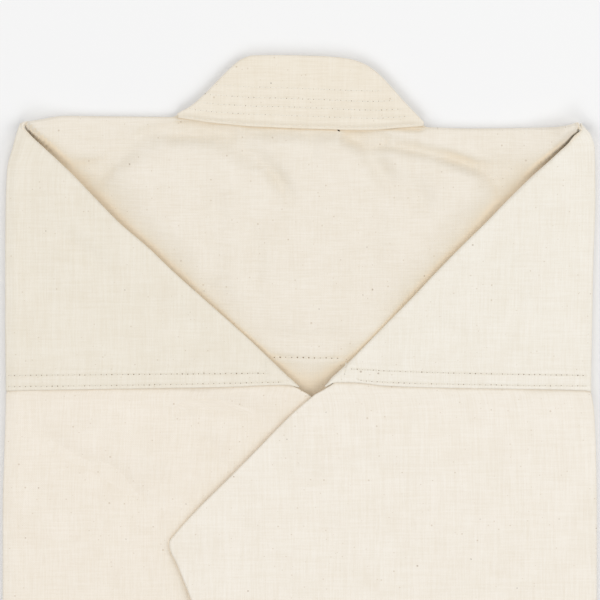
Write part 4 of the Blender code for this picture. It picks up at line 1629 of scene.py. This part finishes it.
Husk = namedtuple("Husk", "x y size on")
HUSKS = (
    Husk(23.4, 372.9, 2.0, "back"),
    Husk(-17.4, 401.4, 0.80, "collar"),
    Husk(26.8, 226.8, 0.75, "right turn"),
    Husk(102.6, 115.8, 0.75, "right sleeve"),
    Husk(-105.0, 277.2, 0.65, "left turn"),
    Husk(-152.4, 312.6, 0.60, "left turn"),
    Husk(-85.2, 370.2, 0.60, "back"),
    Husk(-7.8, 187.8, 0.60, "right sleeve"),
    Husk(130.2, 98.4, 0.60, "right sleeve"),
    Husk(11.4, 265.8, 0.55, "back"),
    Husk(-68.4, 148.8, 0.55, "left sleeve"),
    Husk(108.0, 139.8, 0.55, "right sleeve"),
    Husk(155.4, 139.8, 0.55, "right sleeve"),
    Husk(40.2, 303.0, 0.55, "back"),
    Husk(37.8, 274.2, 0.55, "back"),
    Husk(15.6, 204.0, 0.50, "right sleeve"),
    Husk(-127.8, 172.8, 0.50, "left sleeve"),
    Husk(-104.4, 127.8, 0.50, "left sleeve"),
)
HUSK_SIDES = 9

# The cloth that the husks lie on
Bed = namedtuple("Bed", "place node height")
HUSK_BEDS = (
    Bed("back", "back", back_height),
    Bed("collar", "collar", collar_height),
    Bed("left turn", "left_shoulder_turn", partial(turn_height, LEFT)),
    Bed("right turn", "right_shoulder_turn", partial(turn_height, RIGHT)),
    Bed("left sleeve", "left_sleeve", partial(sleeve_height, LEFT)),
    Bed("right sleeve", "right_sleeve", partial(sleeve_height, RIGHT)),
)


def husk_faces():
    """A grain's faces: its wall, its top fan and its bottom fan."""
    faces = []
    for k in range(HUSK_SIDES):
        j = (k + 1) % HUSK_SIDES
        faces.append((k, j, HUSK_SIDES + j, HUSK_SIDES + k))
        faces.append((HUSK_SIDES + k, HUSK_SIDES + j, 2 * HUSK_SIDES))
        faces.append((j, k, 2 * HUSK_SIDES + 1))
    return faces


def husk_piece(bed, material):
    """Bits of seed husk that were spun into the yarn, as flat grains on the cloth."""
    rng = np.random.default_rng(5)
    joined = Joined()
    for husk in [row for row in HUSKS if row.on == bed.place]:
        centre = np.array([husk.x, husk.y, float(bed.height(np.array([husk.x]), np.array([husk.y]))[0])])
        turn = rng.uniform(0.0, math.pi)
        ring = []
        for k in range(HUSK_SIDES):
            a = 2 * math.pi * k / HUSK_SIDES
            reach = husk.size / 2 * rng.uniform(0.75, 1.1)
            u, v = math.cos(a) * reach, math.sin(a) * reach * 0.7
            ring.append((
                u * math.cos(turn) - v * math.sin(turn),
                u * math.sin(turn) + v * math.cos(turn),
            ))
        low = [centre + (u, v, -0.08) for u, v in ring]
        high = [centre + (u * 0.9, v * 0.9, 0.06) for u, v in ring]
        ends = [centre + (0.0, 0.0, 0.12), centre - (0.0, 0.0, 0.1)]
        joined.add(np.array(low + high + ends), husk_faces())
    return joined.piece(bed.place.replace(" ", "_") + "_seed_husks", material)


# The cut of the cloth

CUT_STEP = 4.0
BACK_WIDTH = 356.0
FRONTS_WIDTH = 350.0
BAND_WIDTH = 148.0

# Cloth that a roll takes up at the shoulder and at a diagonal fold, and how much narrower
# the fronts are than the back
ROLL_CLOTH = 12.0
NOSE_CLOTH = 8.0
FRONTS_LESS = 9.0


def summed(y, width):
    """The area between the rows of a table: its widths times the steps in y."""
    return float(((width[1:] + width[:-1]) / 2 * np.diff(y)).sum())


def cut_sizes():
    """What each piece was cut to, as far as it is built, flat and before it was folded."""
    Cut = namedtuple("Cut", "width length area rests_on")
    body_y = np.arange(HEM_Y, TIP_Y, CUT_STEP)
    body_width = SIDE_EDGE[RIGHT](body_y) - SIDE_EDGE[LEFT](body_y)
    body_length = TIP_Y - HEM_Y
    cuts = {
        "back": Cut(BACK_WIDTH, body_length + ROLL_CLOTH, summed(body_y, body_width), ["front_layers"]),
        "front_layers": Cut(FRONTS_WIDTH, body_length, summed(body_y, body_width - FRONTS_LESS), []),
    }
    sleeve_y = np.arange(CUFF_Y, LAP_Y, CUT_STEP)
    turn_y = np.arange(LAP_Y, TIP_Y, CUT_STEP)
    for side in BOTH:
        fold, sleeve = f"{LABEL[side]}_side_fold", f"{LABEL[side]}_sleeve"
        around = 2 * (SIDE_EDGE[side](body_y) - fold_inner(side, body_y)) * side
        around = around + math.pi * top_of(SIDE_TOP) / 2
        tube = 2 * (SIDE_EDGE[side](sleeve_y) - TURN_EDGE[side](sleeve_y)) * side
        across = (SIDE_EDGE[side](turn_y) - TURN_EDGE[side](turn_y)) * side + NOSE_CLOTH
        below = [fold] if side == LEFT else [fold, "left_sleeve"]
        cuts[fold] = Cut(float(around.max()), body_length, summed(body_y, around), ["back"])
        cuts[sleeve] = Cut(float(tube.max()), LAP_Y - CUFF_Y, summed(sleeve_y, tube), below)
        cuts[f"{LABEL[side]}_shoulder_turn"] = Cut(
            float(across.max()), TIP_Y - LAP_Y, summed(turn_y, across), [fold, sleeve],
        )
    band_x = np.arange(-73.0, 74.0, 1.0)
    band_height = COLLAR_TOP_EDGE(band_x) - COLLAR_SEAM(band_x)
    cuts["collar"] = Cut(BAND_WIDTH, float(band_height.max()), summed(band_x, band_height), ["back"])
    return cuts


# The whole jacket

def cloth_pieces(canvases):
    """The pieces of cloth by the part's nodes that they take the place of."""
    pieces = {"back": back_piece(canvases["back"]), "front_layers": front_piece(canvases["fronts"])}
    for side in BOTH:
        pieces[f"{LABEL[side]}_side_fold"] = side_piece(side, canvases["fronts"])
    for side in BOTH:
        pieces[f"{LABEL[side]}_shoulder_turn"] = turn_piece(side, canvases[f"{LABEL[side]} shoulder"])
    for side in BOTH:
        pieces[f"{LABEL[side]}_sleeve"] = sleeve_piece(side, canvases[f"{LABEL[side]} sleeve"])
    pieces["collar"] = collar_piece(canvases["collar"])
    return pieces


def build():
    canvases = {canvas.name: cloth_material(canvas) for canvas in CANVASES}
    thread = plain_material("Cotton sewing thread", (0.80, 0.76, 0.67))
    # Painted shade: the dark brown in each needle hole stands for the shade inside it
    hole = plain_material("Shade of a needle hole", (0.28, 0.21, 0.14))
    husk = plain_material("Seed husk", HUSK)
    pieces = cloth_pieces(canvases)
    extras = {node: [] for node in pieces}
    for side in BOTH:
        extras["back"].append(tip_rim(side, canvases["back"]))
    for sewn in sewn_rows():
        extras[sewn.node].append(sewing(sewn, thread, hole))
    for bed in HUSK_BEDS:
        extras[bed.node].append(husk_piece(bed, husk))

    cuts = cut_sizes()
    for node, piece in pieces.items():
        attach(piece, "root")
        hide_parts(node)
        for extra in extras[node]:
            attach(extra, "root")


# The floor, the light and the camera, in metres

FLOOR_HALF = 4.0
FLOOR_Z = -0.0004
SKY_STRENGTH = 0.50
LIGHT_SIZE = 1.3
LIGHT_AIM = Vector((0.0, 0.25, 0.0))
Light = namedtuple("Light", "name place power")
LIGHTS = (
    Light("Softbox before the hem", (-0.1, -1.35, 1.9), 13.8),
    Light("Left softbox", (-1.7, 0.30, 1.5), 11.1),
    Light("Right softbox", (1.7, 0.30, 1.5), 12.8),
    Light("Softbox past the collar", (0.3, 2.0, 1.6), 13.6),
)
VIEW_WIDTH = 0.36
CLOTH_LEVEL = 0.0095
CAMERA_PLACE = (0.0, 0.2712, 3.0)
SENSOR_WIDTH = 36.0


def placed(name, data, place):
    """An object in the scene for a mesh, a light or a camera."""
    made = bpy.data.objects.new(name, data)
    made.location = place
    bpy.context.scene.collection.objects.link(made)
    return made


def paper_floor():
    corners = [(-FLOOR_HALF, -FLOOR_HALF, 0), (FLOOR_HALF, -FLOOR_HALF, 0)]
    corners += [(FLOOR_HALF, FLOOR_HALF, 0), (-FLOOR_HALF, FLOOR_HALF, 0)]
    mesh = bpy.data.meshes.new("White floor")
    mesh.from_pydata(corners, [], [(0, 1, 2, 3)])
    mesh.materials.append(plain_material("White paper", (0.845, 0.845, 0.845), 0.95, 0.005))
    return placed("White floor", mesh, (0.0, 0.0, FLOOR_Z))


def light_and_camera():
    """A white floor under soft overhead light, seen from straight above."""
    floor = paper_floor()
    world = bpy.data.worlds.new("Soft studio")
    world.use_nodes = True
    sky = world.node_tree.nodes["Background"]
    sky.inputs["Color"].default_value = (1.0, 1.0, 1.0, 1.0)
    sky.inputs["Strength"].default_value = SKY_STRENGTH
    bpy.context.scene.world = world
    for light in LIGHTS:
        lamp = bpy.data.lights.new(light.name, "AREA")
        lamp.shape = "SQUARE"
        lamp.size = LIGHT_SIZE
        lamp.energy = light.power
        toward = LIGHT_AIM - Vector(light.place)
        placed(light.name, lamp, light.place).rotation_euler = toward.to_track_quat("-Z", "Y").to_euler()
    camera = bpy.data.cameras.new("Overhead camera")
    camera.sensor_width = SENSOR_WIDTH
    camera.lens = SENSOR_WIDTH * (CAMERA_PLACE[2] - CLOTH_LEVEL) / VIEW_WIDTH
    scene = bpy.context.scene
    scene.camera = placed("Overhead camera", camera, CAMERA_PLACE)
    scene.view_settings.view_transform = "Standard"
    scene.view_settings.look = "None"


build()
light_and_camera()
